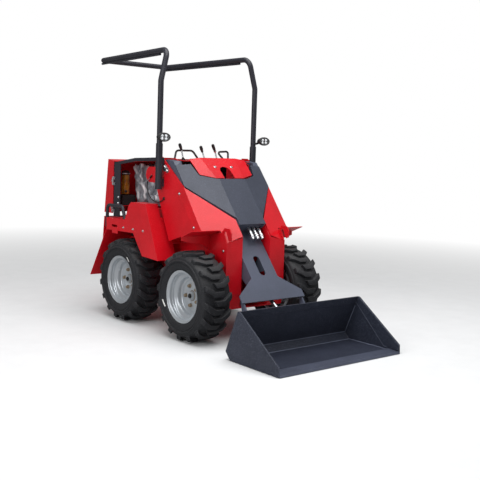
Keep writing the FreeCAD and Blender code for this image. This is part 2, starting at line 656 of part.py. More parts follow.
def boom_wall(corners, x0, x1):
    """A plate along the boom, on (run, deep) corners, between two distances from the middle."""
    points = [crown + V(x0, 0, 0) + down * run - out * deep for run, deep in corners]
    return Part.Face(Part.makePolygon(points + points[:1])).extrude(V(x1 - x0, 0, 0))


arm_inner, arm_outer = size("arm_inner"), size("arm_outer")
neck_run, foot_run = 356, 860
cover_side = [(fold, -10), (132, -15), (232, -60), (258, -158), (359, -170), (359, 4), (fold, 306)]
cover_middle = [(-fold, -10), (fold, -10), (fold, neck_run), (-fold, neck_run)]
cover = facet(cover_middle, 0, boom_sheet)
cover_wing = facet(cover_side, 0, boom_sheet)
keep("boom_cover", fused(cover, cover_wing, mirrored(cover_wing)))

arm = side_plate([(375, 1139), (285, 1130), (272, 1100), (176, 962), (186, 952), (356, 1022), (375, 1019)],
                 arm_inner, arm_outer)
arm = arm.cut(facet([(250, -260), (420, -260), (420, 60), (250, 60)], boom_sheet, -120))
arm_end = cross_bar(pivot.y, pivot.z, arm_inner, arm_outer, size("arm_end_radius"))
arm = fused(arm, arm_end)
side_box = facet([(fold, 0), (228, -50), (arm_inner, -90), (arm_inner, 66), (fold, 300)], boom_sheet, 45)
upper_wall = boom_wall([(20, boom_sheet), (neck_run, boom_sheet), (neck_run, depth), (60, depth)],
                       fold - boom_plate, fold)
lower_wall = boom_wall([(60, depth), (neck_run, depth), (745, depth), (745, depth + 60), (560, depth + 105),
                        (300, depth + 80)], fold - boom_plate, fold)
half_yoke = fused(arm, side_box, upper_wall)
flare = size("flare_side")
foot_corners = [(-fold, 250), (fold, 250), (fold, 696), (flare, 809), (flare, foot_run), (-flare, foot_run),
                (-flare, 809), (-fold, 696)]
foot_points = [crown + V(x, 0, 0) + down * run - out * depth for x, run in foot_corners]
foot_plate = Part.Face(Part.makePolygon(foot_points + foot_points[:1])).extrude(-out * boom_plate)
slot_ends = [crown + down * run - out * (depth - 10) for run in (560, 656)]
slot_half = V(25, 0, 0)
slot_sides = [slot_ends[0] + slot_half, slot_ends[1] + slot_half, slot_ends[1] - slot_half,
              slot_ends[0] - slot_half]
slot_cut = fused(Part.makeCylinder(slot_half.x, 40, slot_ends[0], -out),
                 Part.makeCylinder(slot_half.x, 40, slot_ends[1], -out),
                 Part.Face(Part.makePolygon(slot_sides + slot_sides[:1])).extrude(-out * 40))
foot_plate = foot_plate.cut(slot_cut)
tilt = V(0, size("tilt_y"), size("tilt_z"))
foot_top = [crown + down * run - out * (depth + boom_plate) for run in (foot_run, 803)]
foot_ear = side_plate([(foot_top[0].y, foot_top[0].z), (-435, 130), (-432, 88), (-395, 72), (-360, 90),
                       (foot_top[1].y, foot_top[1].z)], 238, 250)
tilt_foot = (-90, 425)
lift_head = (142, 846)
tilt_eye, head_eye = 31, 25
leg_plate = depth + boom_plate
yoke_plate = boom_sheet + boom_plate
tilt_foot_ear = boom_wall([(540, leg_plate), (640, leg_plate), (612, 225), (589, 238), (566, 225)],
                          tilt_eye, tilt_eye + ear_plate)
lift_head_ear = boom_wall([(60, yoke_plate), (200, yoke_plate), (140, 140), (116, 152), (92, 140)],
                          head_eye, head_eye + ear_plate)
cross = boom_wall([(50, boom_sheet), (210, boom_sheet), (210, yoke_plate), (50, yoke_plate)],
                  -fold + boom_plate, fold - boom_plate)
bulkhead_run = neck_run - 20
coupler_wall = boom_wall([(bulkhead_run, boom_sheet), (bulkhead_run + boom_plate, boom_sheet),
                          (bulkhead_run + boom_plate, depth), (bulkhead_run, depth)],
                         -fold + boom_plate, fold - boom_plate)
yoke = fused(half_yoke, mirrored(half_yoke), cross, coupler_wall, lift_head_ear, mirrored(lift_head_ear))
leg = fused(foot_plate, lower_wall, mirrored(lower_wall), foot_ear, mirrored(foot_ear), tilt_foot_ear,
            mirrored(tilt_foot_ear))
cowl_sweep = cross_bar(pivot.y, pivot.z, -244, 244, 246)
pivot_hole = cross_bar(pivot.y, pivot.z, -400, 400, size("pivot_pin_radius") + gap)
leg_holes = [cross_bar(tilt.y, tilt.z, -300, 300, size("tilt_pin_radius")),
             cross_bar(tilt_foot[0], tilt_foot[1], -60, 60, size("eye_pin_radius"))]
keep("boom_yoke", yoke.cut(cowl_sweep).cut(pivot_hole))
keep("boom_leg", leg.cut(cowl_sweep).cut(Part.makeCompound(leg_holes)))
tilt_foot_reach = tilt_eye + 16
keep("tilt_foot_pin",
     cross_bar(tilt_foot[0], tilt_foot[1], -tilt_foot_reach, tilt_foot_reach, size("eye_pin_radius")))

couplers = []
coupler_run, coupler_depth = bulkhead_run + boom_plate, 60
for x in (4, 44, 84):
    start = crown + V(x, 0, 0) + down * coupler_run - out * coupler_depth
    couplers.append(fused(Part.makeCylinder(13, 92, start, down),
                          Part.makeCylinder(16, 14, start + down * 62, down)))
keep("aux_couplers", *couplers)

# Bucket: bent back and floor with a strip along its top, side plates with doublers, a cutting edge

bucket_side, bucket_sheet, ground_gap = size("bucket_side"), size("bucket_sheet"), size("ground_gap")
bucket_height, front = size("bucket_height"), -size("front_reach")
back_top, back_low, heel = (-593, bucket_height), (-492, 50), (-535, ground_gap)
bucket_in = bucket_side - bucket_sheet
shell = cross_plate([back_top, back_low, heel, (front + 40, ground_gap)], -bucket_in, bucket_in, -bucket_sheet)
cheek = side_plate([back_top, back_low, heel, (front + 6, ground_gap), (front + 8, 56), (-611, bucket_height)],
                   bucket_in, bucket_side)
doubler = side_plate([(-609, bucket_height - 2), (-585, 265), (-832, 29), (-866, 21), (-948, 21), (-953, 54)],
                     bucket_in - 5, bucket_in)
rim_strip = side_plate([back_top, (-578.5, 262), (-588, 259), (-605, bucket_height)], 5 - bucket_in, bucket_in - 5)
keep("bucket", fused(shell, cheek, mirrored(cheek), doubler, mirrored(doubler), rim_strip))
edge = side_plate([(front, ground_gap), (front + 10, ground_gap + 10), (front + 90, ground_gap + 16),
                   (front + 90, ground_gap + 6), (front + 40, ground_gap + 6), (front + 40, ground_gap)],
                  -bucket_side + bucket_sheet, bucket_side - bucket_sheet)
keep("cutting_edge", edge)

# Coupler behind the bucket: a plate, two pivot ears and the tilt ears

back_run = V(0, back_low[0] - back_top[0], back_low[1] - back_top[1])
back_run.normalize()
behind = V(0, -back_run.z, back_run.y)


def on_back(run, off):
    """A (y, z) point, run down the bucket's back from its top edge, off behind it."""
    point = V(0, *back_top) + back_run * run + behind * off
    return point.y, point.z


plate_outline = [on_back(24, 0), on_back(240, 0), on_back(240, 10), on_back(24, 10)]
coupler_plate = side_plate(plate_outline, -225, 225)
pivot_ear = side_plate([on_back(120, 10), on_back(238, 10), (tilt.y + 4, tilt.z - 30),
                        (tilt.y + 28, tilt.z - 10), (tilt.y + 28, tilt.z + 12), (tilt.y + 8, tilt.z + 30)],
                       218, 230)
tilt_arm = 95
tilt_head = (tilt.y + tilt_arm * math.cos(math.radians(95)), tilt.z + tilt_arm * math.sin(math.radians(95)))
tilt_ear = side_plate([on_back(40, 10), on_back(200, 10), (tilt_head[0] + 12, tilt_head[1] - 20),
                       (tilt_head[0] + 24, tilt_head[1]), (tilt_head[0] + 12, tilt_head[1] + 20)],
                      head_eye, head_eye + ear_plate)
coupler = fused(coupler_plate, pivot_ear, mirrored(pivot_ear), tilt_ear, mirrored(tilt_ear))
coupler = coupler.cut(cross_bar(tilt.y, tilt.z, -300, 300, size("tilt_pin_radius") + gap))
keep("coupler", coupler)
tilt_pin = cross_bar(tilt.y, tilt.z, 214, 254, size("tilt_pin_radius"))
keep("tilt_pins", tilt_pin, mirrored(tilt_pin))


# Cylinders: a barrel with an eye at its foot, a rod with an eye and pin at its head

def cylinder(name, foot, head, barrel_length, barrel_radius, rod_radius, rod_length,
             foot_ear, head_ear):
    """A barrel and a rod between two (y, z) pins, each eye just fitting between its pair of ears."""
    foot, head = V(0, *foot), V(0, *head)
    along = (head - foot).normalize()
    pin_radius = size("eye_pin_radius")
    eye_radius = pin_radius + 10
    eye = cross_bar(foot.y, foot.z, gap - foot_ear, foot_ear - gap, eye_radius)
    barrel_foot = eye_radius - 4
    barrel = Part.makeCylinder(barrel_radius, barrel_length - barrel_foot, foot + along * barrel_foot, along)
    gland = Part.makeCylinder(barrel_radius + 3, 24, foot + along * (barrel_length - 24), along)
    bore = Part.makeCylinder(rod_radius + gap, barrel_length, foot + along * (eye_radius + 12), along)
    pin = cross_bar(foot.y, foot.z, -foot_ear, foot_ear, pin_radius + gap)
    keep(name + "_barrel", fused(eye, barrel, gland).cut(bore).cut(pin))
    bar = Part.makeCylinder(rod_radius, rod_length, head, -along)
    knuckle = cross_bar(head.y, head.z, gap - head_ear, head_ear - gap, eye_radius)
    keep(name + "_rod", fused(bar, knuckle))


cylinder("lift", lift_foot, lift_head, 500, size("lift_bore_radius"), size("lift_rod_radius"), 500,
         lift_eye, head_eye)
cylinder("tilt", tilt_foot, tilt_head, 236, size("tilt_bore_radius"), size("tilt_rod_radius"), 306,
         tilt_eye, head_eye)

# Every object and shape is tested, then each sub-part is written by itself

doc.recompute()
failed = [o.Label for o in doc.Objects if "Invalid" in o.State or "Error" in o.State]
for piece in pieces:
    if piece.Shape.isNull() or not piece.Shape.isValid() or not piece.Shape.Solids:
        failed.append(piece.Label)
if failed:
    raise RuntimeError("failed: " + ", ".join(failed))
whole = FreeCAD.BoundBox()
for piece in pieces:
    piece.Shape.exportStep("parts/%s.step" % piece.Label)
    whole.add(piece.Shape.BoundBox)
print(len(pieces), "sub-parts", whole)
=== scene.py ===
# %% [markdown]
# # A compact wheeled skid steer loader
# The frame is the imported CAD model: rigid plates, tubes and cylinders that already have their true size and
# place. This lesson dresses it. Shapes that a plain solid can't carry, such as a lugged tyre or a wrapped
# seat, are worked out here as numpy surfaces, and every piece gets a finish built from nodes.

# %% Load the frame
import math

import bmesh
import bpy
import numpy as np
from mathutils import Matrix


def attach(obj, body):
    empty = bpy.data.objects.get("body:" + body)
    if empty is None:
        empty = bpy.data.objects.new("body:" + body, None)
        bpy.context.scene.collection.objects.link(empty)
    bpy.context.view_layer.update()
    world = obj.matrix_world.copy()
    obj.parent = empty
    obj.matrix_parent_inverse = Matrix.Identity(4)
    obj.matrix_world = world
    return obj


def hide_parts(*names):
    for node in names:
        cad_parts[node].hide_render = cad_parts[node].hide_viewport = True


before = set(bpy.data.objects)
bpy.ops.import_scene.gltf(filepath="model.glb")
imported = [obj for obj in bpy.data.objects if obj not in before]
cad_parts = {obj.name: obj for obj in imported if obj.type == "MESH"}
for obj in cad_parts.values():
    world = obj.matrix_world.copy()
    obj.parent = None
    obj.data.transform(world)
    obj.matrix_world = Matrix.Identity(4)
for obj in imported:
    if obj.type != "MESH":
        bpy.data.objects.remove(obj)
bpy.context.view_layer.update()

# %% [markdown]
# ## From a formula to a mesh
# Every new piece here is one or more grids of points. A grid is an array of rows x columns x 3, so its
# faces follow from its shape alone. Rows or columns that meet, at a seam or a pole, are merged afterwards,
# which closes the shell. The frame is drawn in millimetres from the front axle, so the same millimetres are
# used here, and one function turns them to metres and shifts them along the machine.

# %% Grids, and the piece made from them
MM = 0.001
AXLE = -0.224


def placed(points):
    """Millimetres from the front axle to metres in the frame: p / 1000, and y shifted to the axle."""
    return np.asarray(points, float) * MM + (0, AXLE, 0)


def grid_quads(rows, columns, first):
    """Corner numbers of each quad of a grid: (i, j), (i+1, j), (i+1, j+1), (i, j+1), from a first number."""
    number = first + np.arange(rows * columns).reshape(rows, columns)
    return np.stack([number[:-1, :-1], number[1:, :-1], number[1:, 1:], number[:-1, 1:]], -1).reshape(-1, 4)


def piece(name, grids, finish, body=None, replaces=(), crease=35, closed=True):
    """One object from grids in millimetres. An array with a leading axis holds that many grids."""
    grids = [part for grid in grids for part in (grid if np.ndim(grid) == 4 else [grid])]
    starts = np.cumsum([0] + [g.shape[0] * g.shape[1] for g in grids])
    quads = np.concatenate([grid_quads(g.shape[0], g.shape[1], s) for g, s in zip(grids, starts)])
    mesh = bpy.data.meshes.new(name)
    mesh.from_pydata(placed(np.concatenate([g.reshape(-1, 3) for g in grids])), [], quads.tolist())
    work = bmesh.new()
    work.from_mesh(mesh)
    bmesh.ops.remove_doubles(work, verts=work.verts, dist=2e-6)
    if closed:
        bmesh.ops.recalc_face_normals(work, faces=work.faces)
    work.to_mesh(mesh)
    work.free()
    mesh.shade_smooth()
    mesh.set_sharp_from_angle(angle=math.radians(crease))
    mesh.materials.append(finish)
    made = bpy.data.objects.new(name, mesh)
    bpy.context.scene.collection.objects.link(made)
    if replaces:
        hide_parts(*replaces)
    if body:
        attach(made, body)
    return made


def smooth_line(points, steps=6):
    """Catmull-Rom curve through the points. On each span b to c, with a before it and d after it, it is
    0.5 (2b + (c-a) t + (2a-5b+4c-d) t^2 + (3b-a-3c+d) t^3)."""
    p = np.asarray(points, float)
    p = np.vstack([2 * p[0] - p[1], p, 2 * p[-1] - p[-2]])
    a, b, c, d = (p[i:len(p) - 3 + i, None] for i in range(4))
    t = np.linspace(0, 1, steps, endpoint=False)[None, :, None]
    curve = 0.5 * (2 * b + (c - a) * t + (2 * a - 5 * b + 4 * c - d) * t ** 2
                   + (3 * b - a - 3 * c + d) * t ** 3)
    return np.vstack([curve.reshape(-1, p.shape[1]), p[-2]])


def axes_about(axis):
    """A unit axis and two unit directions across it: u = axis x up, v = axis x u."""
    axis = np.asarray(axis, float) / np.linalg.norm(axis)
    u = np.cross(axis, (0, 0, 1) if abs(axis[2]) < 0.9 else (0, 1, 0))
    u /= np.linalg.norm(u)
    return axis, u, np.cross(axis, u)


def turned(profile, centre, axis, turns=48):
    """A profile of (along, radius) carried round an axis:
    centre + along * axis + radius * (cos t * u + sin t * v)."""
    axis, u, v = axes_about(axis)
    t = np.linspace(0, 2 * math.pi, turns + 1)[None, :, None]
    along, radius = (np.asarray(profile, float)[:, i, None, None] for i in (0, 1))
    grid = np.asarray(centre, float) + along * axis + radius * (np.cos(t) * u + np.sin(t) * v)
    grid[:, -1] = grid[:, 0]
    return grid


def tube(route, radius, sides=12):
    """A circle carried along a route and closed at both ends. Its plane holds side = direction x z and
    lift = side x direction."""
    route = np.asarray(route, float)
    way = np.gradient(route, axis=0)
    way /= np.linalg.norm(way, axis=1, keepdims=True)
    side = np.cross(way, (0, 0, 1))
    side /= np.linalg.norm(side, axis=1, keepdims=True)
    lift = np.cross(side, way)
    t = np.linspace(0, 2 * math.pi, sides + 1)[None, :, None]
    radius = np.broadcast_to(radius, len(route))[:, None, None]
    grid = route[:, None] + radius * (np.cos(t) * side[:, None] + np.sin(t) * lift[:, None])
    grid[:, -1] = grid[:, 0]
    ends = [np.repeat(route[i][None, None], sides + 1, 1) for i in (0, -1)]
    return np.concatenate([ends[0], grid, ends[1]])


def slab(outline, thickness, chamfer=0.6):
    """A plate over an outline of 3-D points: from its middle out over the rim and back behind it."""
    outline = np.asarray(outline, float)
    middle = outline.mean(0)
    normal = np.cross(outline[0] - middle, outline[1] - middle)
    normal *= thickness / np.linalg.norm(normal)
    reach = np.linalg.norm(outline - middle, axis=1, keepdims=True)
    inner = middle + (outline - middle) * (1 - chamfer / reach)
    bevel = normal * chamfer / thickness
    rows = [np.broadcast_to(middle, outline.shape), inner, outline + bevel, outline + normal - bevel,
            inner + normal, np.broadcast_to(middle + normal, outline.shape)]
    grid = np.stack(rows)
    return np.concatenate([grid, grid[:, :1]], axis=1)


def copies(grids, places):
    """The same grids at several places: each becomes an array of as many grids."""
    return [grid[None] + np.asarray(places, float)[:, None, None] for grid in grids]


def hex_bolt(axis, across, height, washer=1.6):
    """A flanged hex head at the origin: six flats under a turned chamfer, on a round washer."""
    corner = across / math.sqrt(3)
    head = [(washer, 0), (washer, corner), (washer + 0.8 * height, corner), (washer + height, 0.86 * corner),
            (washer + height, 0)]
    under = [(0, 0), (0, 0.95 * across), (0.6 * washer, 0.95 * across), (washer, 0.85 * across), (washer, 0)]
    return [turned(head, (0, 0, 0), axis, 6), turned(under, (0, 0, 0), axis, 24)]


# %% [markdown]
# ## Finishes
# A finish starts from what the surface is, such as powder coat on sheet steel, and gets three things: a
# colour that drifts slightly over the piece, a roughness that drifts with it, and a relief. Patterns read
# Object coordinates, in metres, so a scale is one over a real size: 1 / 0.003 gives grains about 3 mm
# apart.

# %% Colours and nodes
def linear(code):
    """An sRGB hex colour as linear red, green, blue and alpha: c / 12.92 up to 0.04045, and above it
    ((c + 0.055) / 1.055)^2.4."""
    c = np.array([int(code[i:i + 2], 16) for i in (0, 2, 4)]) / 255
    return (*np.where(c <= 0.04045, c / 12.92, ((c + 0.055) / 1.055) ** 2.4), 1.0)


def add(tree, kind, inputs=None, **options):
    """Adds a node. An input is a number or colour, or another node's socket, which is linked to it."""
    node = tree.nodes.new(kind)
    for name, value in options.items():
        setattr(node, name, value)
    for name, value in (inputs or {}).items():
        if isinstance(value, bpy.types.NodeSocket):
            tree.links.new(value, node.inputs[name])
        else:
            node.inputs[name].default_value = value
    return node


FACTOR, COLOUR_A, COLOUR_B, COLOUR_OUT = 0, 6, 7, 2


def mixed(tree, share, first, second):
    """A colour socket: the first colour where the share is 0, the second where it is 1."""
    return add(tree, "ShaderNodeMix", {FACTOR: share, COLOUR_A: first, COLOUR_B: second},
               data_type="RGBA").outputs[COLOUR_OUT]


def finish(name, base, drift, rough, rough_drift=0.08, grain=0.004, relief=0.1, height=0.0002, patch=0.18,
           edge=None, edge_round=0.0015, dust=None, dust_share=0.3, detail=3.0, crest=None, **shader):
    """A finish: base drifts to drift in patches. Crests and edges may get painted highlight colours; tops
    dust.
    """
    material = bpy.data.materials.new(name)
    material.use_nodes = True
    tree = material.node_tree
    surface = tree.nodes["Principled BSDF"]
    place = add(tree, "ShaderNodeTexCoord").outputs["Object"]
    patches = add(tree, "ShaderNodeTexNoise", {"Vector": place, "Scale": 1 / patch, "Detail": 5.0,
                                               "Roughness": 0.6})
    grains = add(tree, "ShaderNodeTexNoise", {"Vector": place, "Scale": 1 / grain, "Detail": detail})
    spread = add(tree, "ShaderNodeMapRange", {"Value": patches.outputs[0], "From Min": 0.35,
                                              "From Max": 0.68})
    colour = mixed(tree, spread.outputs[0], linear(base), linear(drift))
    # The crest colour is a painted highlight over the crests that the fold attribute marks.
    if crest:
        fold = add(tree, "ShaderNodeAttribute", attribute_name="fold")
        colour = mixed(tree, fold.outputs["Fac"], colour, linear(crest))
    shape = add(tree, "ShaderNodeNewGeometry")
    normal = shape.outputs["Normal"]
    # The edge colour is a lighter painted highlight along the piece's edges, found from the bevelled normal.
    if edge:
        rounded = add(tree, "ShaderNodeBevel", {"Radius": edge_round}, samples=4)
        normal = rounded.outputs[0]
        match = add(tree, "ShaderNodeVectorMath", {0: normal, 1: shape.outputs["True Normal"]},
                    operation="DOT_PRODUCT")
        edge_nearness = add(tree, "ShaderNodeMath", {0: match.outputs["Value"], 1: grains.outputs[0]}, operation="ADD")
        edge_highlight = add(tree, "ShaderNodeMapRange", {"Value": edge_nearness.outputs[0], "From Min": 1.42, "From Max": 1.3,
                                                "To Max": 0.8})
        colour = mixed(tree, edge_highlight.outputs[0], colour, linear(edge))
    if dust:
        facing = add(tree, "ShaderNodeSeparateXYZ", {0: shape.outputs["Normal"]})
        settled = add(tree, "ShaderNodeMapRange", {"Value": facing.outputs[2], "From Min": 0.2,
                                                   "From Max": 1.0, "To Max": dust_share})
        share = add(tree, "ShaderNodeMath", {0: settled.outputs[0], 1: patches.outputs[0]},
                    operation="MULTIPLY")
        colour = mixed(tree, share.outputs[0], colour, linear(dust))
    tree.links.new(colour, surface.inputs["Base Color"])
    gloss = add(tree, "ShaderNodeMapRange", {"Value": patches.outputs[0], "From Min": 0.3, "From Max": 0.7,
                                             "To Min": rough - rough_drift / 2,
                                             "To Max": rough + rough_drift / 2})
    tree.links.new(gloss.outputs[0], surface.inputs["Roughness"])
    bump = add(tree, "ShaderNodeBump", {"Height": grains.outputs[0], "Strength": relief, "Distance": height,
                                        "Normal": normal})
    tree.links.new(bump.outputs[0], surface.inputs["Normal"])
    for socket, value in shader.items():
        surface.inputs[socket.replace("_", " ").title().replace("Ior", "IOR")].default_value = value
    return material


# %% [markdown]
# The body is bent sheet steel under a gloss red powder coat. Powder flows out to a clear skin with a faint
# orange peel, a few millimetres from crest to crest, so it gets a thin coat over the colour and a very
# shallow relief. The boom and the bucket are satin wet paint, which scatters more light. The edges of the
# painted pieces and of the tyres' lugs get a lighter colour, a painted highlight. The wheels are silver
# stove enamel, which is a paint with metal flakes and so only partly metallic.

# %% The machine's own finishes
# Each edge colour below is lighter than its base: a painted highlight along the edges.
red_powder_coat = finish("gloss_red_powder_coat", "CE0A1B", "BC0816", 0.34, grain=0.0035, relief=0.2,
                         height=0.0001, edge="E0404A", specular_ior_level=0.28, coat_weight=0.12,
                         coat_roughness=0.14)
slate_satin_paint = finish("satin_slate_paint", "515666", "4A4F5D", 0.45, grain=0.003, relief=0.2,
                           height=0.00012, edge="6A7080", specular_ior_level=0.35, coat_weight=0.08,
                           coat_roughness=0.3)
cover_satin_paint = finish("satin_slate_cover_paint", "3C404D", "363A46", 0.45, grain=0.003, relief=0.2,
                           height=0.00012, edge="6A7080", specular_ior_level=0.3, coat_weight=0.05,
                           coat_roughness=0.3)
bucket_satin_paint = finish("satin_blue_black_paint", "2B2F3D", "252936", 0.42, grain=0.003, relief=0.25,
                            edge="7C818F", edge_round=0.0022, specular_ior_level=0.3, coat_weight=0.06,
                            coat_roughness=0.25)
# The bead colour, much lighter than the bucket's paint, is a painted highlight.
weld_highlight_paint = finish("weld_bead_painted_highlight", "747A8C", "61677A", 0.38, grain=0.004, relief=0.5, height=0.0006)
tube_satin_paint = finish("satin_anthracite_powder_coat", "2B2B33", "25252C", 0.42, grain=0.002, relief=0.3,
                          edge="40404A", specular_ior_level=0.35, coat_weight=0.1, coat_roughness=0.25)
# The tyre's lighter edge colour is a painted highlight along the lugs' edges.
tyre_rubber = finish("moulded_black_rubber", "1B1C20", "222226", 0.62, grain=0.0016, relief=0.4,
                     height=0.0003, edge="55565A", edge_round=0.0026, dust="66635F", dust_share=0.2,
                     specular_ior_level=0.35)
silver_wheel_paint = finish("silver_metallic_wheel_paint", "C3C8CD", "B3B8BD", 0.32, grain=0.0012, relief=0.2,
                            metallic=0.6)
zinc_steel = finish("zinc_plated_steel", "D6D9DC", "C3C7CB", 0.28, grain=0.002, relief=0.15, patch=0.02,
                    metallic=1.0)
# The blade's colour, lighter than the bucket's, and its edge colour are painted highlights.
blade_highlight_paint = finish("rubbed_blade_paint", "454A5A", "3A3E4C", 0.36, grain=0.003, relief=0.25, edge="7C818F",
                    specular_ior_level=0.35)
yellow_zinc = finish("yellow_passivated_zinc", "A3917B", "84725E", 0.36, grain=0.002, patch=0.012,
                     metallic=0.8)
hard_chrome = finish("hard_chrome_plate", "A4A7AC", "979BA1", 0.24, rough_drift=0.04, relief=0.05,
                     metallic=1.0)
black_casting = finish("black_painted_casting", "1C1D1F", "252628", 0.55, grain=0.004, relief=0.5,
                       height=0.0006, dust="6B665E", dust_share=0.2)
black_moulding = finish("grained_black_plastic", "161617", "1C1C1E", 0.52, grain=0.0009, relief=0.5,
                        height=0.00015)
amber_plastic = finish("amber_moulded_bowl", "B0700F", "7A4706", 0.22, patch=0.05, relief=0.1,
                       coat_weight=0.4, coat_roughness=0.08)
# The crest colour is a painted highlight on the crests of the film's folds.
seat_film = finish("crumpled_polythene_film", "9399A0", "6C7179", 0.26, rough_drift=0.16, grain=0.013,
                   relief=0.6, height=0.003, patch=0.05, detail=6.0, crest="EEF0F3", coat_weight=0.7,
                   coat_roughness=0.12)
white_led = finish("white_led_optic", "F3F5F7", "E6EAEE", 0.12, relief=0.02, coat_weight=0.5,
                   coat_roughness=0.05)
white_mark = finish("white_paint_mark", "E9E9E6", "DADAD5", 0.6, patch=0.01, relief=0.4)
lens_glass = finish("clear_moulded_lens", "F1F4F7", "E8ECF0", 0.06, rough_drift=0.02, relief=0.02, alpha=0.05,
                    ior=1.49)

SLOT_FINISH = {"red_paint": red_powder_coat, "boom_grey": slate_satin_paint,
               "bucket_grey": bucket_satin_paint, "tube_grey": tube_satin_paint,
               "rim_silver": silver_wheel_paint, "tyre": tyre_rubber, "black_plastic": black_moulding,
               "seat_vinyl": seat_film, "pin_steel": zinc_steel, "chrome": hard_chrome,
               "cast_dark": black_casting, "amber": amber_plastic, "lens": lens_glass}
for node_name, node_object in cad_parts.items():
    slot_name = node_object.data.materials[0].name.split(".")[0]
    if slot_name in SLOT_FINISH:
        node_object.data.materials[0] = SLOT_FINISH[slot_name]
    else:
        print("no finish for", node_name, slot_name)
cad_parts["boom_cover"].data.materials[0] = cover_satin_paint
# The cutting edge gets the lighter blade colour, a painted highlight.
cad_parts["cutting_edge"].data.materials[0] = blade_highlight_paint

# %% [markdown]
# ## Tyres
# An off-road tyre is a ring of rubber with heavy lugs that run from just past its middle out over the
# shoulder. The lugs of one side lie half a pitch behind those of the other, so one is always in touch with
# the ground. The ring is a profile turned about the axle. A lug is a grid between two skins, one on the
# ring and one over the lug's crown; the share that a point has risen from the first to the second is the
# lower of a profile along the lug and one across it, which gives sloping walls and rounded edges all the
# way round. Each wheel stands turned by its own angle.

# %% The ring of the tyre
AXLES = {"front": 0.0, "rear": 757.0}
HANDS = {"left": 1, "right": -1}
TYRE_RADIUS, WHEEL_SIDE, LUGS, TREAD_REACH = 287.0, 383.0, 16, 279.0
# How far each wheel stands turned, in degrees. The rear pair follows an arc of the tread in millimetres
REAR_ARC = 3.2
STANDING = {"front_left": -2.25, "front_right": 6.25, "rear_left": -math.degrees(REAR_ARC / TREAD_REACH),
            "rear_right": -math.degrees(REAR_ARC / TREAD_REACH)}
half_ring = smooth_line([(82, 156.5), (84.6, 163.5), (89.6, 170), (98, 178), (103, 192), (106, 205),
                         (106.8, 212), (104.6, 214.5), (104.8, 217), (109.4, 220), (111.4, 223), (111.6, 227),
                         (109.6, 230), (106, 234), (103, 243), (97, 251), (86, 257.5), (66, 262.5), (36, 266),
                         (0, 267.5)], 4)
inside = np.array([(0, 176.0), (60, 174.0), (77, 158.0), (82, 156.5)])
ring_profile = np.vstack([inside, half_ring[1:], (half_ring[:-1] * (-1, 1))[::-1], (inside * (-1, 1))[::-1]])

# %% The lugs, all of one tyre at once
# Stations along a lug, from the middle of the tread to its foot on the sidewall: share of the way, and rise
LUG_STATIONS = np.array([(0, 0), (0, 0.2), (0.012, 0.93), (0.03, 1), (0.1, 1), (0.26, 1), (0.48, 1),
                         (0.52, 1), (0.78, 1), (0.9, 1), (1, 1)])
# Across a lug: share of its width, and rise
LUG_WIDTH = np.array([(0, 0), (0, 0.1), (0.07, 0.93), (0.085, 0.985), (0.12, 1), (0.5, 1), (0.88, 1),
                      (0.915, 0.985), (0.93, 0.93), (1, 0.1), (1, 0)])
# Edges of a lug at its start, its bend and the shoulder: across the tread, and round it
LUG_LOW = np.array([(18, 0), (-39, 0), (-94, 39)], float)
LUG_HIGH = np.array([(39, 38), (-30, 38), (-94, 83)], float)
# Over the shoulder: across, radius, low and high edge round the tread, rise, and the foot's across and radius
LUG_SHOULDER = np.array([(-97, 274, 40, 82, 1, -95, 247), (-98.6, 264, 41.5, 80.5, 1, -95.5, 245),
                         (-99.4, 251, 44, 78, 1, -96, 243), (-97, 245, 45, 77, 0, -95.5, 242)])
# The crown falls off towards the shoulder: across, and radius. A lug's root lies just under the ring's skin,
# whose outer points run from the middle of the tread to the sidewall
CROWN = np.array([(-40, 287), (62, 287), (80, 283), (94, 278)], float)
ROOT_DEPTH = 3.0
OUTER_POINTS = 29


def lug_grids(axle_y, angle):
    """Every lug of a tyre, turned to its angle:
    point = ring skin + (crown skin - ring skin) * min(rise along, rise across)."""
    share, rise_along = LUG_STATIONS.T
    bends = (0, 0.5, 1)
    low_x, low_v = (np.append(np.interp(share, bends, LUG_LOW[:, i]), LUG_SHOULDER[:, j])
                    for i, j in ((0, 0), (1, 2)))
    high_x, high_v = (np.append(np.interp(share, bends, LUG_HIGH[:, i]), LUG_SHOULDER[:, j])
                      for i, j in ((0, 0), (1, 3)))
    rise_along = np.append(rise_along, LUG_SHOULDER[:, 4])
    across, rise_across = LUG_WIDTH.T
    x = low_x[:, None] + (high_x - low_x)[:, None] * across
    v = low_v[:, None] + (high_v - low_v)[:, None] * across
    rise = np.minimum(rise_along[:, None], rise_across)
    shoulder = -len(LUG_SHOULDER)
    crown_r = np.interp(-x, CROWN[:, 0], CROWN[:, 1])
    crown_r[shoulder:] = LUG_SHOULDER[:, 1, None]
    outward = half_ring[::-1][:OUTER_POINTS]
    foot_r = np.interp(np.abs(x), outward[:, 0], outward[:, 1]) - ROOT_DEPTH
    foot_x = x.copy()
    foot_x[shoulder:], foot_r[shoulder:] = LUG_SHOULDER[:, 5, None], LUG_SHOULDER[:, 6, None]
    px, pr = foot_x + (x - foot_x) * rise, foot_r + (crown_r - foot_r) * rise
    grids = []
    for side, start in ((1, 0.0), (-1, 0.5)):
        place = (np.arange(LUGS) + start)[:, None, None]
        turn = math.radians(angle) + place * 2 * math.pi / LUGS + v / TREAD_REACH
        y, z = axle_y - pr * np.cos(turn), TYRE_RADIUS + pr * np.sin(turn)
        grids.append(np.stack([np.broadcast_to(side * px, y.shape), y, z], -1))
    return grids


